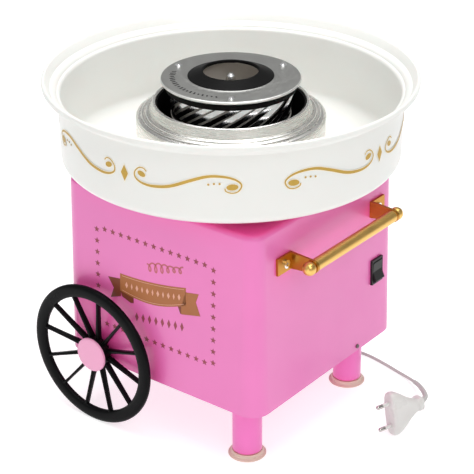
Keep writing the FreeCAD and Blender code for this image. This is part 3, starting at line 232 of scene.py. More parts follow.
NODE_LOOKS = {
    "cabinet_shell": "pink_shell", "base_plate": "floor_plate",
    "leg_left": "pink_leg", "leg_right": "pink_leg",
    "suction_foot_left": "suction_foot", "suction_foot_right": "suction_foot",
    "wheel_axle": "axle_steel", "axle_clips": "axle_steel", "axle_bushes": "black_switch",
    "wheel_left": "black_wheel", "wheel_right": "black_wheel",
    "hub_cap_left": "pink_cap", "hub_cap_right": "pink_cap",
    "handle_bar": "gold_handle", "handle_knob_left": "gold_handle", "handle_knob_right": "gold_handle",
    "handle_bracket_left": "gold_bracket", "handle_bracket_right": "gold_bracket",
    "switch_bezel": "black_switch", "switch_rocker": "black_switch",
    "bowl": "white_bowl", "heater_housing": "collar", "guard_ring": "collar", "heater_pan": "pan_black",
    "heating_element": "element_steel", "element_insulators": "ceramic",
    "thermostat": "zinc_plate", "thermal_fuse": "zinc_plate",
    "head_disc": "head_grey", "head_band": "bright_strip", "head_pan": "liner_brown",
    "head_hub": "rivet_bright", "head_rivets": "rivet_bright",
    "motor_case": "motor_steel", "motor_shaft": "axle_steel", "motor_bracket": "zinc_plate",
    "motor_grommets": "rubber_black", "motor_spacers": "zinc_plate", "cooling_fan": "nylon",
    "terminal_block": "nylon", "cord_clamp": "nylon",
    "mains_lead": "cord_white", "motor_lead": "cord_white", "heater_lead": "cord_white",
    "clamp_screw": "element_steel", "cord_gland": "cord_white", "power_cord": "cord_white",
    "plug_strain_relief": "sleeve_grey", "plug_body": "plug_white",
    "plug_pins": "pin_metal", "plug_pin_sleeves": "plug_white",
}


def dress(obj, look):
    """Give an object one of the looks."""
    obj.data.materials.clear()
    obj.data.materials.append(LOOK[look])
    return obj


def dress_nodes():
    """Every CAD node gets its look; the screws not listed are bright steel."""
    for name, node in NODES.items():
        dress(node, NODE_LOOKS.get(name, "bright_screw"))


# ---------------------------------------------------------------- mesh helpers

def new_piece(name, points, faces, body, look, sharp=35):
    """A mesh piece that rides on a body."""
    mesh = bpy.data.meshes.new(name)
    mesh.from_pydata([tuple(point) for point in points], [], faces)
    mesh.validate()
    whole = bmesh.new()
    whole.from_mesh(mesh)
    bmesh.ops.recalc_face_normals(whole, faces=whole.faces)
    whole.to_mesh(mesh)
    whole.free()
    for polygon in mesh.polygons:
        polygon.use_smooth = True
    mesh.set_sharp_from_angle(angle=math.radians(sharp))
    obj = bpy.data.objects.new(name, mesh)
    bpy.context.scene.collection.objects.link(obj)
    dress(obj, look)
    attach(obj, body)
    return obj


def curved(value, power):
    """A sine or cosine with its curve made fuller by a power under 1."""
    return math.copysign(abs(value) ** power, value)


def arc(centre_r, centre_z, radius_r, radius_z, start, end, steps=8, power=1.0):
    """Points of an elliptical arc in the (radius, height) plane, by angle in degrees."""
    turns = [math.radians(start + (end - start) * step / steps) for step in range(steps + 1)]
    return [(centre_r + radius_r * curved(math.cos(t), power),
             centre_z + radius_z * curved(math.sin(t), power)) for t in turns]


def turned_mesh(outline, steps, pose):
    """Points and faces of a closed (radius, height) outline in millimetres, turned about the pose's Z."""
    points = []
    faces = []
    count = len(outline)
    for step in range(steps):
        turn = 2 * math.pi * step / steps
        for radius, height in outline:
            points.append(pose @ (Vector((radius * math.cos(turn), radius * math.sin(turn), height)) * MM))
    for step in range(steps):
        here = step * count
        there = (step + 1) % steps * count
        for spot in range(count):
            after = (spot + 1) % count
            faces.append((here + spot, there + spot, there + after, here + after))
    return points, faces


def add_mesh(points, faces, more):
    """Add the points and faces of another mesh to these."""
    shift = len(points)
    more_points, more_faces = more
    points += more_points
    faces += [tuple(spot + shift for spot in face) for face in more_faces]


def lathe(name, outline, body, look, pose=Matrix(), steps=160, sharp=35):
    """A piece turned from a closed outline."""
    points, faces = turned_mesh(outline, steps, pose)
    return new_piece(name, points, faces, body, look, sharp)


def smooth_path(spots, steps=6):
    """A Catmull-Rom curve through 2D spots."""
    ends = [spots[0]] + list(spots) + [spots[-1]]
    found = []
    for before, here, there, beyond in zip(ends, ends[1:], ends[2:], ends[3:]):
        for step in range(steps):
            t = step / steps
            found.append(tuple(0.5 * (2 * h + (n - b) * t + (2 * b - 5 * h + 4 * n - f) * t ** 2
                                      + (3 * h - b - 3 * n + f) * t ** 3)
                               for b, h, n, f in zip(before, here, there, beyond)))
    return found + [tuple(spots[-1])]


class Inlay:
    """Thin raised shapes that lie on one surface.

    place(u, v, out) gives the point of the surface at u, v millimetres, raised by out.
    """

    def __init__(self, place, height, sunk=0.1):
        self.place = place
        self.height = height
        self.sunk = sunk
        self.points = []
        self.faces = []

    def add(self, spots, out):
        """Put spots on the surface and return their numbers."""
        first = len(self.points)
        self.points += [self.place(u, v, out) for u, v in spots]
        return list(range(first, first + len(spots)))

    def wall(self, upper, lower):
        """The side wall under a closed row of points."""
        for spot in range(len(upper)):
            after = (spot + 1) % len(upper)
            self.faces.append((upper[after], upper[spot], lower[spot], lower[after]))

    def patch(self, rim, centre=None):
        """A flat shape whose whole rim can be seen from its centre."""
        centre = centre or tuple(sum(part) / len(rim) for part in zip(*rim))
        upper = self.add(rim, self.height)
        lower = self.add(rim, -self.sunk)
        crown = self.add([centre], self.height)[0]
        base = self.add([centre], -self.sunk)[0]
        for spot in range(len(rim)):
            after = (spot + 1) % len(rim)
            self.faces.append((crown, upper[spot], upper[after]))
            self.faces.append((base, lower[after], lower[spot]))
        self.wall(upper, lower)

    def strip(self, first, second):
        """A band between two rows of spots."""
        rows = [[self.add(row, out) for out in (self.height, -self.sunk)] for row in (first, second)]
        for level, flip in ((0, False), (1, True)):
            near, far = rows[0][level], rows[1][level]
            for spot in range(len(near) - 1):
                face = (near[spot], near[spot + 1], far[spot + 1], far[spot])
                self.faces.append(face[::-1] if flip else face)
        upper = rows[0][0] + rows[1][0][::-1]
        lower = rows[0][1] + rows[1][1][::-1]
        self.wall(upper, lower)

    def stroke(self, path, width):
        """A pen stroke along a path; width(part) gives its width at each part of its length."""
        first = []
        second = []
        for spot, (u, v) in enumerate(path):
            before = path[max(0, spot - 1)]
            after = path[min(len(path) - 1, spot + 1)]
            run = (after[0] - before[0], after[1] - before[1])
            reach = 0.5 * width(spot / (len(path) - 1)) / max(1e-6, math.hypot(*run))
            first.append((u - run[1] * reach, v + run[0] * reach))
            second.append((u + run[1] * reach, v - run[0] * reach))
        self.strip(first, second)

    def oval(self, u, v, half_u, half_v, tilt=0.0, steps=16):
        """An oval dot."""
        lean = math.radians(tilt)
        rim = []
        for step in range(steps):
            turn = 2 * math.pi * step / steps
            x = half_u * math.cos(turn)
            y = half_v * math.sin(turn)
            rim.append((u + x * math.cos(lean) - y * math.sin(lean),
                        v + x * math.sin(lean) + y * math.cos(lean)))
        self.patch(rim)

    def piece(self, name, body, look):
        """The finished mesh."""
        return new_piece(name, self.points, self.faces, body, look, 60)


# ---------------------------------------------------------------- bowl

RIM_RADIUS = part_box("bowl")[1].x / MM
RIM_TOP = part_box("bowl")[1].z / MM
BOWL_FLOOR = 210.0
BOWL_WALL = 133.2
BOWL_HOLE = 75.3


def make_bowl():
    """The bowl: flared lip with a rounded edge, upright wall, and a floor that rounds into it."""
    top = RIM_TOP
    rim = RIM_RADIUS
    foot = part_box("cabinet_shell")[1].z / MM + 0.3
    outline = [(BOWL_HOLE, BOWL_FLOOR), (80.0, BOWL_FLOOR), (80.0, foot), (84.0, foot), (84.0, BOWL_FLOOR)]
    outline += arc(90.0, BOWL_FLOOR + 12.0, BOWL_WALL - 0.6 - 90.0, 12.0, -90, 0, 18, 0.86)
    outline += [(BOWL_WALL, top - 16.0)]
    outline += arc(BOWL_WALL + 8.0, top - 11.8, 8.0, 5.6, 180, 105, 7)
    outline += [(rim - 1.3, top - 5.2)]
    outline += arc(rim - 1.5, top - 3.7, 1.5, 1.5, -60, 0, 3)
    outline += arc(rim - 1.6, top - 1.6, 1.6, 1.6, 0, 140, 7)
    outline += [(rim - 7.4, top - 8.8), (rim - 8.0, top - 10.0), (rim - 8.9, top - 10.2)]
    outline += arc(BOWL_WALL - 2.4 + 3.0, top - 13.2, 3.0, 3.0, 90, 180, 5)
    outline += arc(92.0, BOWL_FLOOR + 14.4, BOWL_WALL - 3.2 - 92.0, 11.9, 0, -90, 18, 0.86)
    outline += [(BOWL_HOLE + 2.2, BOWL_FLOOR + 2.5), (BOWL_HOLE + 2.2, BOWL_FLOOR + 11.0),
                (BOWL_HOLE, BOWL_FLOOR + 11.0)]
    bowl = lathe("bowl_moulding", outline, "bowl", "white_bowl", steps=220)
    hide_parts("bowl")


# Half of one motif, in millimetres round the wall from its lozenge, and above the floor.
SCROLL = ((19.0, 252.6), (16.6, 254.7), (12.8, 254.4), (9.4, 250.8), (9.3, 246.8), (12.6, 243.9),
          (18.5, 242.3), (26.0, 242.3), (37.5, 244.4), (53.0, 250.6), (65.0, 254.4), (76.0, 254.5),
          (84.5, 252.2), (88.9, 248.0), (86.6, 243.2), (82.0, 241.9), (77.9, 243.3), (77.2, 245.4))
# Place, half width, half height and tilt in degrees.
SCROLL_DOTS = ((14.9, 250.0, 3.3, 2.1, -20), (82.4, 246.4, 4.3, 2.4, 5), (65.4, 248.2, 0.8, 0.8, 0),
               (69.4, 248.9, 0.8, 0.8, 0), (73.4, 249.0, 0.8, 0.8, 0))
LOZENGE = (3.2, 6.4)
MOTIF_LEVEL = 247.3
MOTIF_START = -87.3
# Piece, look, height above the wall and margin round the motif, in millimetres.
SCROLL_LAYERS = (("scroll_edging", "cream_ink", 0.06, 1.1), ("scrolls", "gilt", 0.14, 0.0))


def bowl_wall(u, v, out):
    """The bowl's outer wall: u along it from +X, v up."""
    reach = (BOWL_WALL + out) * MM
    turn = u / BOWL_WALL
    return Vector((reach * math.cos(turn), reach * math.sin(turn), v * MM))


def make_scrolls():
    """Gilt scrolls round the bowl: four lozenges with a pair of scrolls each, on a pale edge."""
    path = smooth_path(SCROLL)
    for name, look, height, margin in SCROLL_LAYERS:
        inlay = Inlay(bowl_wall, height)
        for quarter in range(4):
            middle = math.radians(MOTIF_START + 90 * quarter) * BOWL_WALL
            rim = []
            for u, v in ((1, 0), (0, 1), (-1, 0), (0, -1)):
                rim.append((middle + u * (LOZENGE[0] + margin * 0.6),
                            MOTIF_LEVEL + v * (LOZENGE[1] + margin)))
            inlay.patch(rim)
            for hand in (LEFT, RIGHT):
                line = [(middle + hand * u, v) for u, v in path]
                inlay.stroke(line, lambda part: 0.8 + margin + 1.5 * math.sin(math.pi * part) ** 4)
                for u, v, wide, high, tilt in SCROLL_DOTS:
                    pad = margin * (0.5 if wide > 1 else 0.25)
                    inlay.oval(middle + hand * u, v, wide + pad, high + pad, hand * tilt)
        inlay.piece(name, "bowl", look)


# ---------------------------------------------------------------- printed panel

CABINET_LOW, CABINET_HIGH = [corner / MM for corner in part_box("cabinet_shell")]
CABINET_FLARE = 3.47 / (CABINET_HIGH.z - CABINET_LOW.z)
STAR_BORDER = (-60.7, 54.9, 87.0, 168.0)
STAR_COLUMN = 9
STAR_ROW = 13
STAR_RADIUS = 2.75
STAR_WAIST = 0.46
RIBBON_PARTS = 24
RIBBON_TAIL = ((28.0, 140.0), (41.0, 142.4), (38.2, 134.6), (42.5, 124.2), (24.0, 119.8), (24.0, 127.0))
RIBBON_TAIL_MIDDLE = (31.0, 131.0)
BACK_TAIL = ((-50.0, 129.0), (-37.0, 131.0), (-37.0, 115.6), (-47.6, 111.6), (-44.4, 120.8))
BACK_TAIL_MIDDLE = (-41.0, 121.4)
RIBBON_FOLDS = (((-37.5, 121.6), (-24.0, 120.2), (-24.0, 113.6), (-27.0, 112.9), (-36.0, 116.0)),
                ((18.4, 130.6), (28.0, 131.0), (28.0, 121.2), (22.9, 120.0)))
RIBBON_MARKS = 11
FLOURISH_LOOPS = 6
FLOURISH_STEPS = 120
FLOURISH_START = (-10.0, 149.5)
FLOURISH_RUN = (36.0, 8.0)
LOZENGES = 8
LOZENGE_START = (-21.0, 102.6)
LOZENGE_STEP = (6.5, 0.92)


def panel(u, v, out):
    """The -Y wall: u along +X, v up."""
    return Vector((u, CABINET_LOW.y + CABINET_FLARE * (v - CABINET_LOW.z) - out, v)) * MM


def star(u, v, radius):
    """The rim of a five-pointed star."""
    rim = []
    for spot in range(10):
        reach = radius if spot % 2 == 0 else radius * STAR_WAIST
        turn = math.radians(90 + 36 * spot)
        rim.append((u + reach * math.cos(turn), v + reach * math.sin(turn)))
    return rim


def make_stars():
    """A border of small stars."""
    left, right, low, high = STAR_BORDER
    inlay = Inlay(panel, 0.08)
    step = (high - low - 2.4) / (STAR_COLUMN - 1)
    for u in (left, right):
        for count in range(STAR_COLUMN):
            inlay.patch(star(u, low + 1.2 + step * count, STAR_RADIUS))
    step = (right - left) / (STAR_ROW + 1)
    for v in (low - 0.9, high + 0.9):
        for count in range(STAR_ROW):
            inlay.patch(star(left + step * (count + 1), v, STAR_RADIUS))
    inlay.piece("star_border", "root", "star_ink")


def banner_edge(part, low):
    """The waved top or bottom edge of the ribbon, from its left end to its right."""
    u = -37.5 + 66.0 * part
    v = 135.6 + 8.2 * part ** 2
    return u, v - (15.0 + 4.0 * math.sin(math.pi * part) if low else 0.0)


def make_banner():
    """A waved gilt ribbon with folded ends and a row of marks, a row of loops above and lozenges below."""
    ribbon = Inlay(panel, 0.14)
    parts = [step / RIBBON_PARTS for step in range(RIBBON_PARTS + 1)]
    ribbon.strip([banner_edge(part, False) for part in parts], [banner_edge(part, True) for part in parts])
    ribbon.patch(RIBBON_TAIL, RIBBON_TAIL_MIDDLE)
    ribbon.piece("ribbon", "root", "gold_ink")

    shade = Inlay(panel, 0.10)
    shade.patch(BACK_TAIL, BACK_TAIL_MIDDLE)
    for fold in RIBBON_FOLDS:
        shade.patch(fold)
    shade.piece("ribbon_folds", "root", "fold_ink")

    marks = Inlay(panel, 0.2)
    for edge, inset in ((False, -1.5), (True, 1.5)):
        line = [(u, v + inset) for u, v in (banner_edge(0.03 + 0.94 * part, edge) for part in parts)]
        marks.stroke(line, lambda part: 0.35)
    for count in range(RIBBON_MARKS):
        u, v = banner_edge(0.1 + 0.08 * count, False)
        half = 0.9 if count % 2 else 1.4
        marks.patch([(u - half, v - 8.4), (u, v - 5.6), (u + half, v - 8.4), (u, v - 11.2)])
    marks.piece("ribbon_marks", "root", "pale_ink")

    curl = Inlay(panel, 0.08)
    loops = []
    for step in range(FLOURISH_STEPS + 1):
        part = step / FLOURISH_STEPS
        turn = 2 * math.pi * FLOURISH_LOOPS * part
        tall = 2.2 + 1.8 * math.sin(math.pi * (part + 0.2)) ** 2
        loops.append((FLOURISH_START[0] + FLOURISH_RUN[0] * part + 2.4 * math.sin(turn),
                      FLOURISH_START[1] + FLOURISH_RUN[1] * part + tall * math.cos(turn)))
    curl.stroke(loops, lambda part: 1.3)
    curl.piece("flourish", "root", "script_ink")

    row = Inlay(panel, 0.08)
    for count in range(LOZENGES):
        u = LOZENGE_START[0] + LOZENGE_STEP[0] * count
        v = LOZENGE_START[1] + LOZENGE_STEP[1] * count
        row.patch([(u - 1.7, v), (u, v + 3.9), (u + 1.7, v), (u, v - 3.9)])
    row.piece("lozenge_row", "root", "star_ink")


# ---------------------------------------------------------------- wheels

WHEEL_LOW, WHEEL_HIGH = [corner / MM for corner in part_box("wheel_left")]
WHEEL_RADIUS = (WHEEL_HIGH.z - WHEEL_LOW.z) / 2
WHEEL_X = (WHEEL_LOW.x + WHEEL_HIGH.x) / 2
WHEEL_FACE = -WHEEL_LOW.y
WHEEL_INNER = -WHEEL_HIGH.y
RIM_WIDTH = 10.7
RIM_DEPTH = 6.4
SPOKES = 12
FIRST_SPOKE = 20.0
SPOKE_SIDES = 12
# Distance from the axle, half width, half depth and inset from the wheel's face, in millimetres.
SPOKE_SECTIONS = ((10.5, 1.9, 2.9, 9.0), (15.0, 1.6, 2.8, 8.6), (26.0, 1.3, 2.6, 7.0),
                  (40.0, 1.15, 2.4, 5.0), (52.0, 1.3, 2.3, 3.3))
SOFT_CORNER = 0.6
CAP_INSET = 2.6


def wheel_pose(side):
    """Local Z points out of the cabinet from the axle."""
    turn = Matrix.Rotation(math.radians(-90 * side), 4, "X")
    return Matrix.Translation(Vector((WHEEL_X, 0, WHEEL_RADIUS)) * MM) @ turn


def add_spoke(points, faces, pose, angle):
    """A slim bar that widens towards the hub."""
    sides = SPOKE_SIDES
    first = len(points)
    turn = Matrix.Rotation(math.radians(angle), 4, "Z")
    for reach, half, deep, inset in SPOKE_SECTIONS:
        middle = WHEEL_FACE - inset
        for side in range(sides):
            lean = 2 * math.pi * (side + 0.5) / sides
            spot = Vector((reach, half * curved(math.sin(lean), SOFT_CORNER),
                           middle + deep * curved(math.cos(lean), SOFT_CORNER)))
            points.append(pose @ turn @ (spot * MM))
    for row in range(len(SPOKE_SECTIONS) - 1):
        for side in range(sides):
            here = first + row * sides + side
            after = first + row * sides + (side + 1) % sides
            faces.append((here, after, after + sides, here + sides))
    faces.append(tuple(first + side for side in range(sides - 1, -1, -1)))
    last = first + (len(SPOKE_SECTIONS) - 1) * sides
    faces.append(tuple(last + side for side in range(sides)))


def make_wheels():
    """Round-sectioned rims, slim spokes and deep hubs, with shallow domed caps."""
    for side, word in SIDES:
        pose = wheel_pose(side)
        middle = WHEEL_FACE - RIM_DEPTH / 2
        half = RIM_WIDTH / 2
        rim = arc(WHEEL_RADIUS - half, middle, half, RIM_DEPTH / 2, 0, 351, 39, 0.78)
        points, faces = turned_mesh(rim, 128, pose)
        cap_seat = WHEEL_FACE - CAP_INSET
        hub = [(3.1, WHEEL_INNER), (9.0, WHEEL_INNER), (11.0, WHEEL_FACE - 12.5), (12.6, WHEEL_FACE - 11.0)]
        hub += arc(12.6, cap_seat - 1.0, 1.0, 1.0, 0, 80, 4)
        hub += [(8.0, cap_seat), (8.0, cap_seat - 1.6), (3.1, cap_seat - 1.6)]
        add_mesh(points, faces, turned_mesh(hub, 64, pose))
        for count in range(SPOKES):
            add_spoke(points, faces, pose, (FIRST_SPOKE + 360 / SPOKES * count) * -side)
        wheel = new_piece(f"wheel_{word}_moulding", points, faces, f"wheel_{word}", "black_wheel", 50)
        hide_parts(f"wheel_{word}")

        dome = [(0.01, cap_seat - 0.5), (7.6, cap_seat - 0.5), (7.6, cap_seat + 0.02),
                (14.3, cap_seat + 0.02)]
        dome += arc(13.3, cap_seat + 1.0, 1.0, 1.0, 0, 70, 4)
        dome += [(9.0, cap_seat + 2.45), (0.01, cap_seat + 2.7)]
        cap = lathe(f"cap_{word}_dome", dome, f"wheel_{word}", "pink_cap", pose, 64)
        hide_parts(f"hub_cap_{word}")


# ---------------------------------------------------------------- heater collar and head

COLLAR_RADIUS = 73.75
COLLAR_TOP = 249.8
GUARD_OPENING = 58.5
GUARD_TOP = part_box("guard_ring")[1].z / MM


def make_collar():
    """The spun collar: a tall cylinder with a soft shoulder, two beads and a rolled lip."""
    deck = CABINET_HIGH.z
    outer = COLLAR_RADIUS
    outline = [(63.5, deck), (outer, deck)]
    outline += arc(outer - 3.0, COLLAR_TOP - 3.0, 3.0, 3.0, 0, 90, 8)
    outline += [(67.0, COLLAR_TOP), (67.0, COLLAR_TOP - 1.2)]
    outline += [(outer - 3.4, COLLAR_TOP - 1.2), (outer - 1.2, COLLAR_TOP - 3.2), (outer - 1.2, deck + 1.2),
                (63.5, deck + 1.2)]
    shell = lathe("collar_shell", outline, "root", "collar")
    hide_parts("heater_housing")

    step = COLLAR_TOP + 0.1
    outline = arc(GUARD_OPENING + 1.3, GUARD_TOP - 1.2, 1.3, 1.2, 180, 0, 9)
    outline += [(63.1, step + 4.0), (63.5, step + 2.9), (63.4, step + 2.3)]
    outline += arc(65.2, step + 1.5, 1.5, 1.2, 160, 0, 7)
    outline += [(66.8, step + 0.7), (67.3, step + 0.5)]
    outline += arc(68.6, step + 0.2, 1.2, 0.9, 150, -5, 6)
    outline += [(61.9, step), (59.6, GUARD_TOP - 1.8)]
    guard = lathe("collar_beads", outline, "root", "collar")
    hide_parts("guard_ring")


HEAD_RADIUS = 54.3
HEAD_TOP = 279.3
BAND_TOP = 276.75
BAND_BOTTOM = 250.5
BAND_FOOT_RADIUS = 46.2
BAND_FLARE = 4.2
LOUVRES = 30
LOUVRE_ROWS = 10
LOUVRE_SLANT = 44.0
LOUVRE_SHARE = 0.33
DASHES = 20
DASH_START = -156.0
DASH_STEP = 4.7
DASH_RADIUS = 45.0
FUNNEL_RADIUS = 33.8
DISC_LOOKS = ("head_edge_highlight", "funnel_black", "liner_brown")
EDGE_HIGHLIGHT_SLOT, FUNNEL_SLOT, UNDERSIDE_SLOT = 1, 2, 3


def disc_top(u, v, out):
    """The flat top of the disc: u degrees round from +X, v millimetres from the axis."""
    turn = math.radians(u)
    return Vector((v * math.cos(turn), v * math.sin(turn), HEAD_TOP - 0.1 + out)) * MM


def make_disc():
    """The funnel disc with its turned edge; the edge is given a lighter metal than the top, a painted
    highlight along it.
    """
    outline = arc(22.3, HEAD_TOP + 4.2, 1.0, 0.8, 200, 40, 6)
    outline += [(33.4, HEAD_TOP + 0.55), (34.6, HEAD_TOP + 0.12), (36.4, HEAD_TOP)]
    outline += [(HEAD_RADIUS - 2.6, HEAD_TOP - 0.2), (HEAD_RADIUS - 1.9, HEAD_TOP - 0.2)]
    outline += arc(HEAD_RADIUS - 1.2, HEAD_TOP - 1.5, 1.2, 1.2, 70, -90, 8)
    outline += [(HEAD_RADIUS - 2.2, HEAD_TOP - 2.6), (35.5, HEAD_TOP - 2.0), (21.6, HEAD_TOP + 2.6)]
    disc = lathe("spinner_disc", outline, "head", "head_grey", sharp=20)
    for look in DISC_LOOKS:
        disc.data.materials.append(LOOK[look])
    for polygon in disc.data.polygons:
        reach = math.hypot(polygon.center.x, polygon.center.y) / MM
        # Painted highlight: the rounded edge gets a pale metal that stands in for the bright line of light
        # along it.
        if reach > HEAD_RADIUS - 1.3:
            polygon.material_index = EDGE_HIGHLIGHT_SLOT
        elif polygon.normal.z < -0.3 and reach < 45:
            polygon.material_index = UNDERSIDE_SLOT
        elif reach < FUNNEL_RADIUS:
            polygon.material_index = FUNNEL_SLOT
    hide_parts("head_disc")


def make_band_rings_and_shadow():
    """The two dark rings that hold the louvres, and the liner behind them. The top ring is also painted
    shadow: a tall black band that stands in for the shade under the disc's edge.
    """
    points = []
    faces = []
    # The top ring is 6 mm tall so that its black stands in for the shadow under the disc.
    for low, high, wide in ((BAND_TOP - 6.0, BAND_TOP, 50.6),
                            (BAND_BOTTOM, BAND_BOTTOM + 2.2, BAND_FOOT_RADIUS)):
        ring = [(wide - 1.2, low), (wide, low), (wide, high), (wide - 1.2, high)]
        add_mesh(points, faces, turned_mesh(ring, 120, Matrix()))
    ring = new_piece("band_rings_painted_shadow", points, faces, "head", "pan_black", 30)

    liner = [(42.6, BAND_BOTTOM + 0.1), (43.0, BAND_BOTTOM + 0.1),
             (45.6, BAND_TOP - 0.4), (45.2, BAND_TOP - 0.4)]
    lathe("band_liner", liner, "head", "liner_brown")


def make_dashes():
    """A part ring of short dashes pressed into the disc."""
    dashes = Inlay(disc_top, 0.15)
    for count in range(DASHES):
        angle = DASH_START + DASH_STEP * count
        half = ((4.6 if count % 3 else 3.4) - 0.12 * count) / 2
        dashes.stroke([(angle, DASH_RADIUS - half), (angle + 1.2, DASH_RADIUS + half)], lambda part: 1.5)
    dashes.piece("disc_dashes", "head", "emboss_dark")


def make_louvres():
    """The band of polished slanting louvres, each a thin twisted blade."""
    points = []
    faces = []
    slant = math.radians(LOUVRE_SLANT)
    half = math.radians(360 / LOUVRES * LOUVRE_SHARE)
    for count in range(LOUVRES):
        first = len(points)
        for row in range(LOUVRE_ROWS + 1):
            part = row / LOUVRE_ROWS
            level = BAND_BOTTOM + 1.0 + part * (BAND_TOP - BAND_BOTTOM - 3.0)
            middle = 2 * math.pi * count / LOUVRES + slant * part
            wide = BAND_FOOT_RADIUS + part * BAND_FLARE
            tip = 1.1 + 0.9 * math.sin(2.4 * count)
            for turn, reach in ((-half, wide - tip), (-half, wide - tip - 0.6), (half, wide - 0.9),
                                (half, wide - 0.3)):
                place = (reach * math.cos(middle + turn), reach * math.sin(middle + turn), level)
                points.append(Vector(place) * MM)
        for row in range(LOUVRE_ROWS):
            here = first + row * 4
            for side in range(4):
                after = (side + 1) % 4
                faces.append((here + side, here + side + 4, here + after + 4, here + after))
        faces.append(tuple(first + side for side in range(4)))
        faces.append(tuple(first + LOUVRE_ROWS * 4 + side for side in range(3, -1, -1)))
    louvres = new_piece("band_louvres", points, faces, "head", "bright_strip", 30)
    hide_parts("head_band")


# ---------------------------------------------------------------- cord and plug

CORD_ROUTE = (
    (0.0340, 0.0820, 0.0470),
    (0.0345, 0.0825, 0.0340),
    (0.0380, 0.0890, 0.0180),
    (0.0450, 0.1010, 0.0060),
    (0.0570, 0.1120, 0.0015),
    (0.0780, 0.1086, 0.0015),
    (0.0980, 0.1032, 0.0015),
    (0.1140, 0.0976, 0.0030),
    (0.1280, 0.0875, 0.0077),
    (0.1372, 0.0770, 0.0128),
    (0.1474, 0.0656, 0.0176),
    (0.1539, 0.0570, 0.0193),
    (0.1542, 0.0493, 0.0196),
)
CORD_RADIUS = 0.0013
PLUG_TURN = -107.0
PLUG_GAP = 0.75
PLUG_LEAN = 12.0
PLUG_SIDES = 48
BOOT_LENGTH = 0.022
SLEEVE_LENGTH = 0.057
# Distance from the cord's end, half height and half depth, in millimetres.
PLUG_SECTIONS = ((0.0, 4.6, 4.4), (0.25, 5.6, 5.3), (0.9, 5.9, 5.6), (3.9, 5.9, 5.6), (4.4, 5.4, 5.0),
                 (5.0, 5.2, 4.7), (9.0, 6.6, 5.2), (15.0, 10.2, 6.0), (21.0, 14.8, 6.6), (26.0, 17.8, 6.8),
                 (29.0, 18.4, 6.8), (31.4, 18.0, 6.4), (32.3, 17.0, 5.7), (32.5, 15.6, 4.8))


def spline_points(curve):
    """Points along a curve that has no thickness yet."""
    mesh = bpy.data.meshes.new_from_object(curve)
    points = [vertex.co.copy() for vertex in mesh.vertices]
    bpy.data.meshes.remove(mesh)
    return points


def tube(name, path, radii, body, look, sides=20):
    """A closed tube along a path, with its own radius at each point."""
    points = []
    faces = []
    heading = (path[1] - path[0]).normalized()
    across = heading.orthogonal().normalized()
    for spot, radius in enumerate(radii):
        before = path[max(0, spot - 1)]
        after = path[min(len(path) - 1, spot + 1)]
        heading = (after - before).normalized()
        across = (across - heading * across.dot(heading)).normalized()
        upward = heading.cross(across)
        for side in range(sides):
            turn = 2 * math.pi * side / sides
            points.append(path[spot] + (across * math.cos(turn) + upward * math.sin(turn)) * radius)
    for spot in range(len(path) - 1):
        for side in range(sides):
            after = (side + 1) % sides
            faces.append((spot * sides + side, spot * sides + after, (spot + 1) * sides + after,
                          (spot + 1) * sides + side))
    faces.append(tuple(range(sides - 1, -1, -1)))
    faces.append(tuple((len(path) - 1) * sides + side for side in range(sides)))
    return new_piece(name, points, faces, body, look)


def distances(path):
    """How far along the path each of its points is."""
    reach = [0.0]
    for before, after in zip(path, path[1:]):
        reach.append(reach[-1] + (after - before).length)
    return reach


def along(path, start, end, spacing):
    """Evenly spaced points of a path between two distances from its first point."""
    reach = distances(path)
    found = []
    count = max(2, int(round((end - start) / spacing)))
    for step in range(count + 1):
        wanted = start + (end - start) * step / count
        spot = next((i for i in range(len(reach) - 1) if reach[i + 1] >= wanted), len(reach) - 2)
        part = (wanted - reach[spot]) / max(1e-9, reach[spot + 1] - reach[spot])
        found.append(path[spot].lerp(path[spot + 1], part))
    return found


def make_plug():
    """The plug's smooth moulded body, with a collar at its back."""
    lean = Matrix.Rotation(math.radians(PLUG_LEAN), 4, "X")
    turn = Matrix.Rotation(math.radians(PLUG_TURN), 4, "Z") @ lean
    back = Vector(CORD_ROUTE[-1]) + turn @ Vector((PLUG_GAP * MM, 0, 0))
    pose = Matrix.Translation(back) @ turn
    sides = PLUG_SIDES
    points = []
    faces = []
    for reach, high, deep in PLUG_SECTIONS:
        for side in range(sides):
            lean = 2 * math.pi * side / sides
            spot = Vector((reach, deep * curved(math.sin(lean), SOFT_CORNER),
                           high * curved(math.cos(lean), SOFT_CORNER)))
            points.append(pose @ (spot * MM))
    for row in range(len(PLUG_SECTIONS) - 1):
        for side in range(sides):
            here = row * sides + side
            after = row * sides + (side + 1) % sides
            faces.append((here, here + sides, after + sides, after))
    faces.append(tuple(range(sides)))
    last = (len(PLUG_SECTIONS) - 1) * sides
    faces.append(tuple(last + side for side in range(sides - 1, -1, -1)))
    body = new_piece("plug_moulding", points, faces, "root", "plug_white", 50)
    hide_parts("plug_body")
    return body


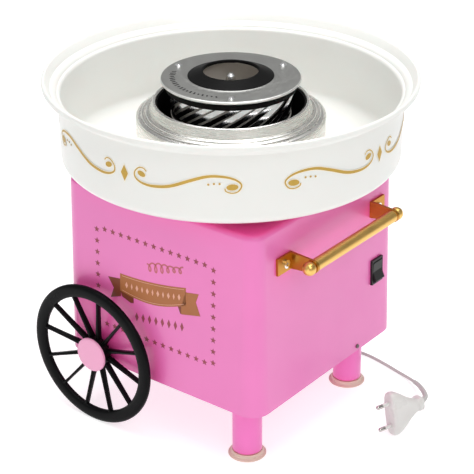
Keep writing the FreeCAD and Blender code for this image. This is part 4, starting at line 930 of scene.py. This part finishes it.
def make_cord():
    """The free cord, its boot at the cabinet and its ribbed sleeve at the plug."""
    data = bpy.data.curves.new("mains_cord", "CURVE")
    data.dimensions = "3D"
    data.resolution_u = 24
    spline = data.splines.new("NURBS")
    spline.points.add(len(CORD_ROUTE) - 1)
    for point, place in zip(spline.points, CORD_ROUTE):
        point.co = (*place, 1)
    spline.order_u = 3
    spline.use_endpoint_u = True
    cord = bpy.data.objects.new("mains_cord", data)
    bpy.context.scene.collection.objects.link(cord)
    path = spline_points(cord)
    data.bevel_depth = CORD_RADIUS
    data.use_fill_caps = True
    data.bevel_resolution = 8
    data.materials.append(LOOK["cord_white"])
    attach(cord, "root")
    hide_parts("power_cord")

    spots = along(path, 0.0, BOOT_LENGTH, 0.0006)
    radii = [0.0034 - 0.0017 * step / (len(spots) - 1) for step in range(len(spots))]
    boot = tube("cord_boot", spots, radii, "root", "cord_white")

    full = distances(path)[-1]
    spots = along(path, full - SLEEVE_LENGTH, full, 0.0005)
    radii = []
    for step in range(len(spots)):
        ridge = 0.00018 * math.cos(2 * math.pi * step / 5.0)
        radii.append(0.0017 + ridge + 0.0004 * step / len(spots))
    sleeve = tube("plug_sleeve", spots, radii, "root", "sleeve_grey")
    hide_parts("plug_strain_relief")
    make_plug()


# ---------------------------------------------------------------- studio

FLOOR_HALF = 30.0


def make_stage():
    """A pale floor."""
    size = FLOOR_HALF
    mesh = bpy.data.meshes.new("floor")
    corners = [(-size, -size, 0), (size, -size, 0), (size, size, 0), (-size, size, 0)]
    mesh.from_pydata(corners, [], [(0, 1, 2, 3)])
    floor = bpy.data.objects.new("floor", mesh)
    bpy.context.scene.collection.objects.link(floor)
    material, _, shader = new_material("floor_paper")
    shader.inputs["Base Color"].default_value = (0.55, 0.55, 0.55, 1)
    shader.inputs["Emission Color"].default_value = (1, 1, 1, 1)
    shader.inputs["Emission Strength"].default_value = 0.68
    shader.inputs["Roughness"].default_value = 0.9
    shader.inputs["Specular IOR Level"].default_value = 0.1
    mesh.materials.append(material)


LIGHT_TARGET = Vector((0, 0, 0.15))


def area_light(name, place, size, power):
    """A soft white square light aimed at the middle of the machine."""
    data = bpy.data.lights.new(name, "AREA")
    data.shape = "SQUARE"
    data.size = size
    data.energy = power
    lamp = bpy.data.objects.new(name, data)
    lamp.location = place
    aim = LIGHT_TARGET - Vector(place)
    lamp.rotation_euler = aim.to_track_quat("-Z", "Y").to_euler()
    bpy.context.scene.collection.objects.link(lamp)


def make_lights():
    """A pale world with a large soft key, a fill, a low light in front and a broad light above."""
    world = bpy.data.worlds.new("studio")
    world.use_nodes = True
    background = world.node_tree.nodes["Background"]
    background.inputs["Color"].default_value = (1, 1, 1, 1)
    background.inputs["Strength"].default_value = 0.34
    bpy.context.scene.world = world
    area_light("key", (-0.8, -1.5, 1.4), 1.2, 3.2)
    area_light("fill", (1.35, -0.75, 1.55), 1.0, 10.0)
    area_light("low", (0.5, -1.8, 0.35), 0.9, 3.5)
    area_light("top", (0.0, 0.1, 1.7), 1.4, 28)


CAMERA_TARGET = Vector((0, 0, 0.140))
CAMERA_DISTANCE = 1.3447
CAMERA_AZIMUTH = 37.873
CAMERA_ELEVATION = 26.478
CAMERA_ROLL = -0.319
CAMERA_LENS = 127.02
CAMERA_SHIFT = (0.01105, 0.00286)


def make_camera():
    """The camera, by its azimuth round from -Y and its height above the horizon."""
    azimuth = math.radians(CAMERA_AZIMUTH)
    elevation = math.radians(CAMERA_ELEVATION)
    back = Vector((math.sin(azimuth) * math.cos(elevation), -math.cos(azimuth) * math.cos(elevation),
                   math.sin(elevation)))
    level = Vector((math.cos(azimuth), math.sin(azimuth), 0))
    turn = Matrix.Rotation(math.radians(CAMERA_ROLL), 3, back)
    right = turn @ level
    upward = back.cross(right)
    data = bpy.data.cameras.new("camera")
    data.lens = CAMERA_LENS
    data.sensor_width = 36.0
    data.shift_x, data.shift_y = CAMERA_SHIFT
    camera = bpy.data.objects.new("camera", data)
    pose = Matrix((right, upward, back)).transposed().to_4x4()
    pose.translation = CAMERA_TARGET + back * CAMERA_DISTANCE
    camera.matrix_world = pose
    bpy.context.scene.collection.objects.link(camera)
    bpy.context.scene.camera = camera


bpy.context.scene.view_settings.view_transform = "Standard"
dress_nodes()
make_bowl()
make_scrolls()
make_stars()
make_banner()
make_wheels()
make_collar()
make_disc()
make_band_rings_and_shadow()
make_dashes()
make_louvres()
make_cord()
make_stage()
make_lights()
make_camera()
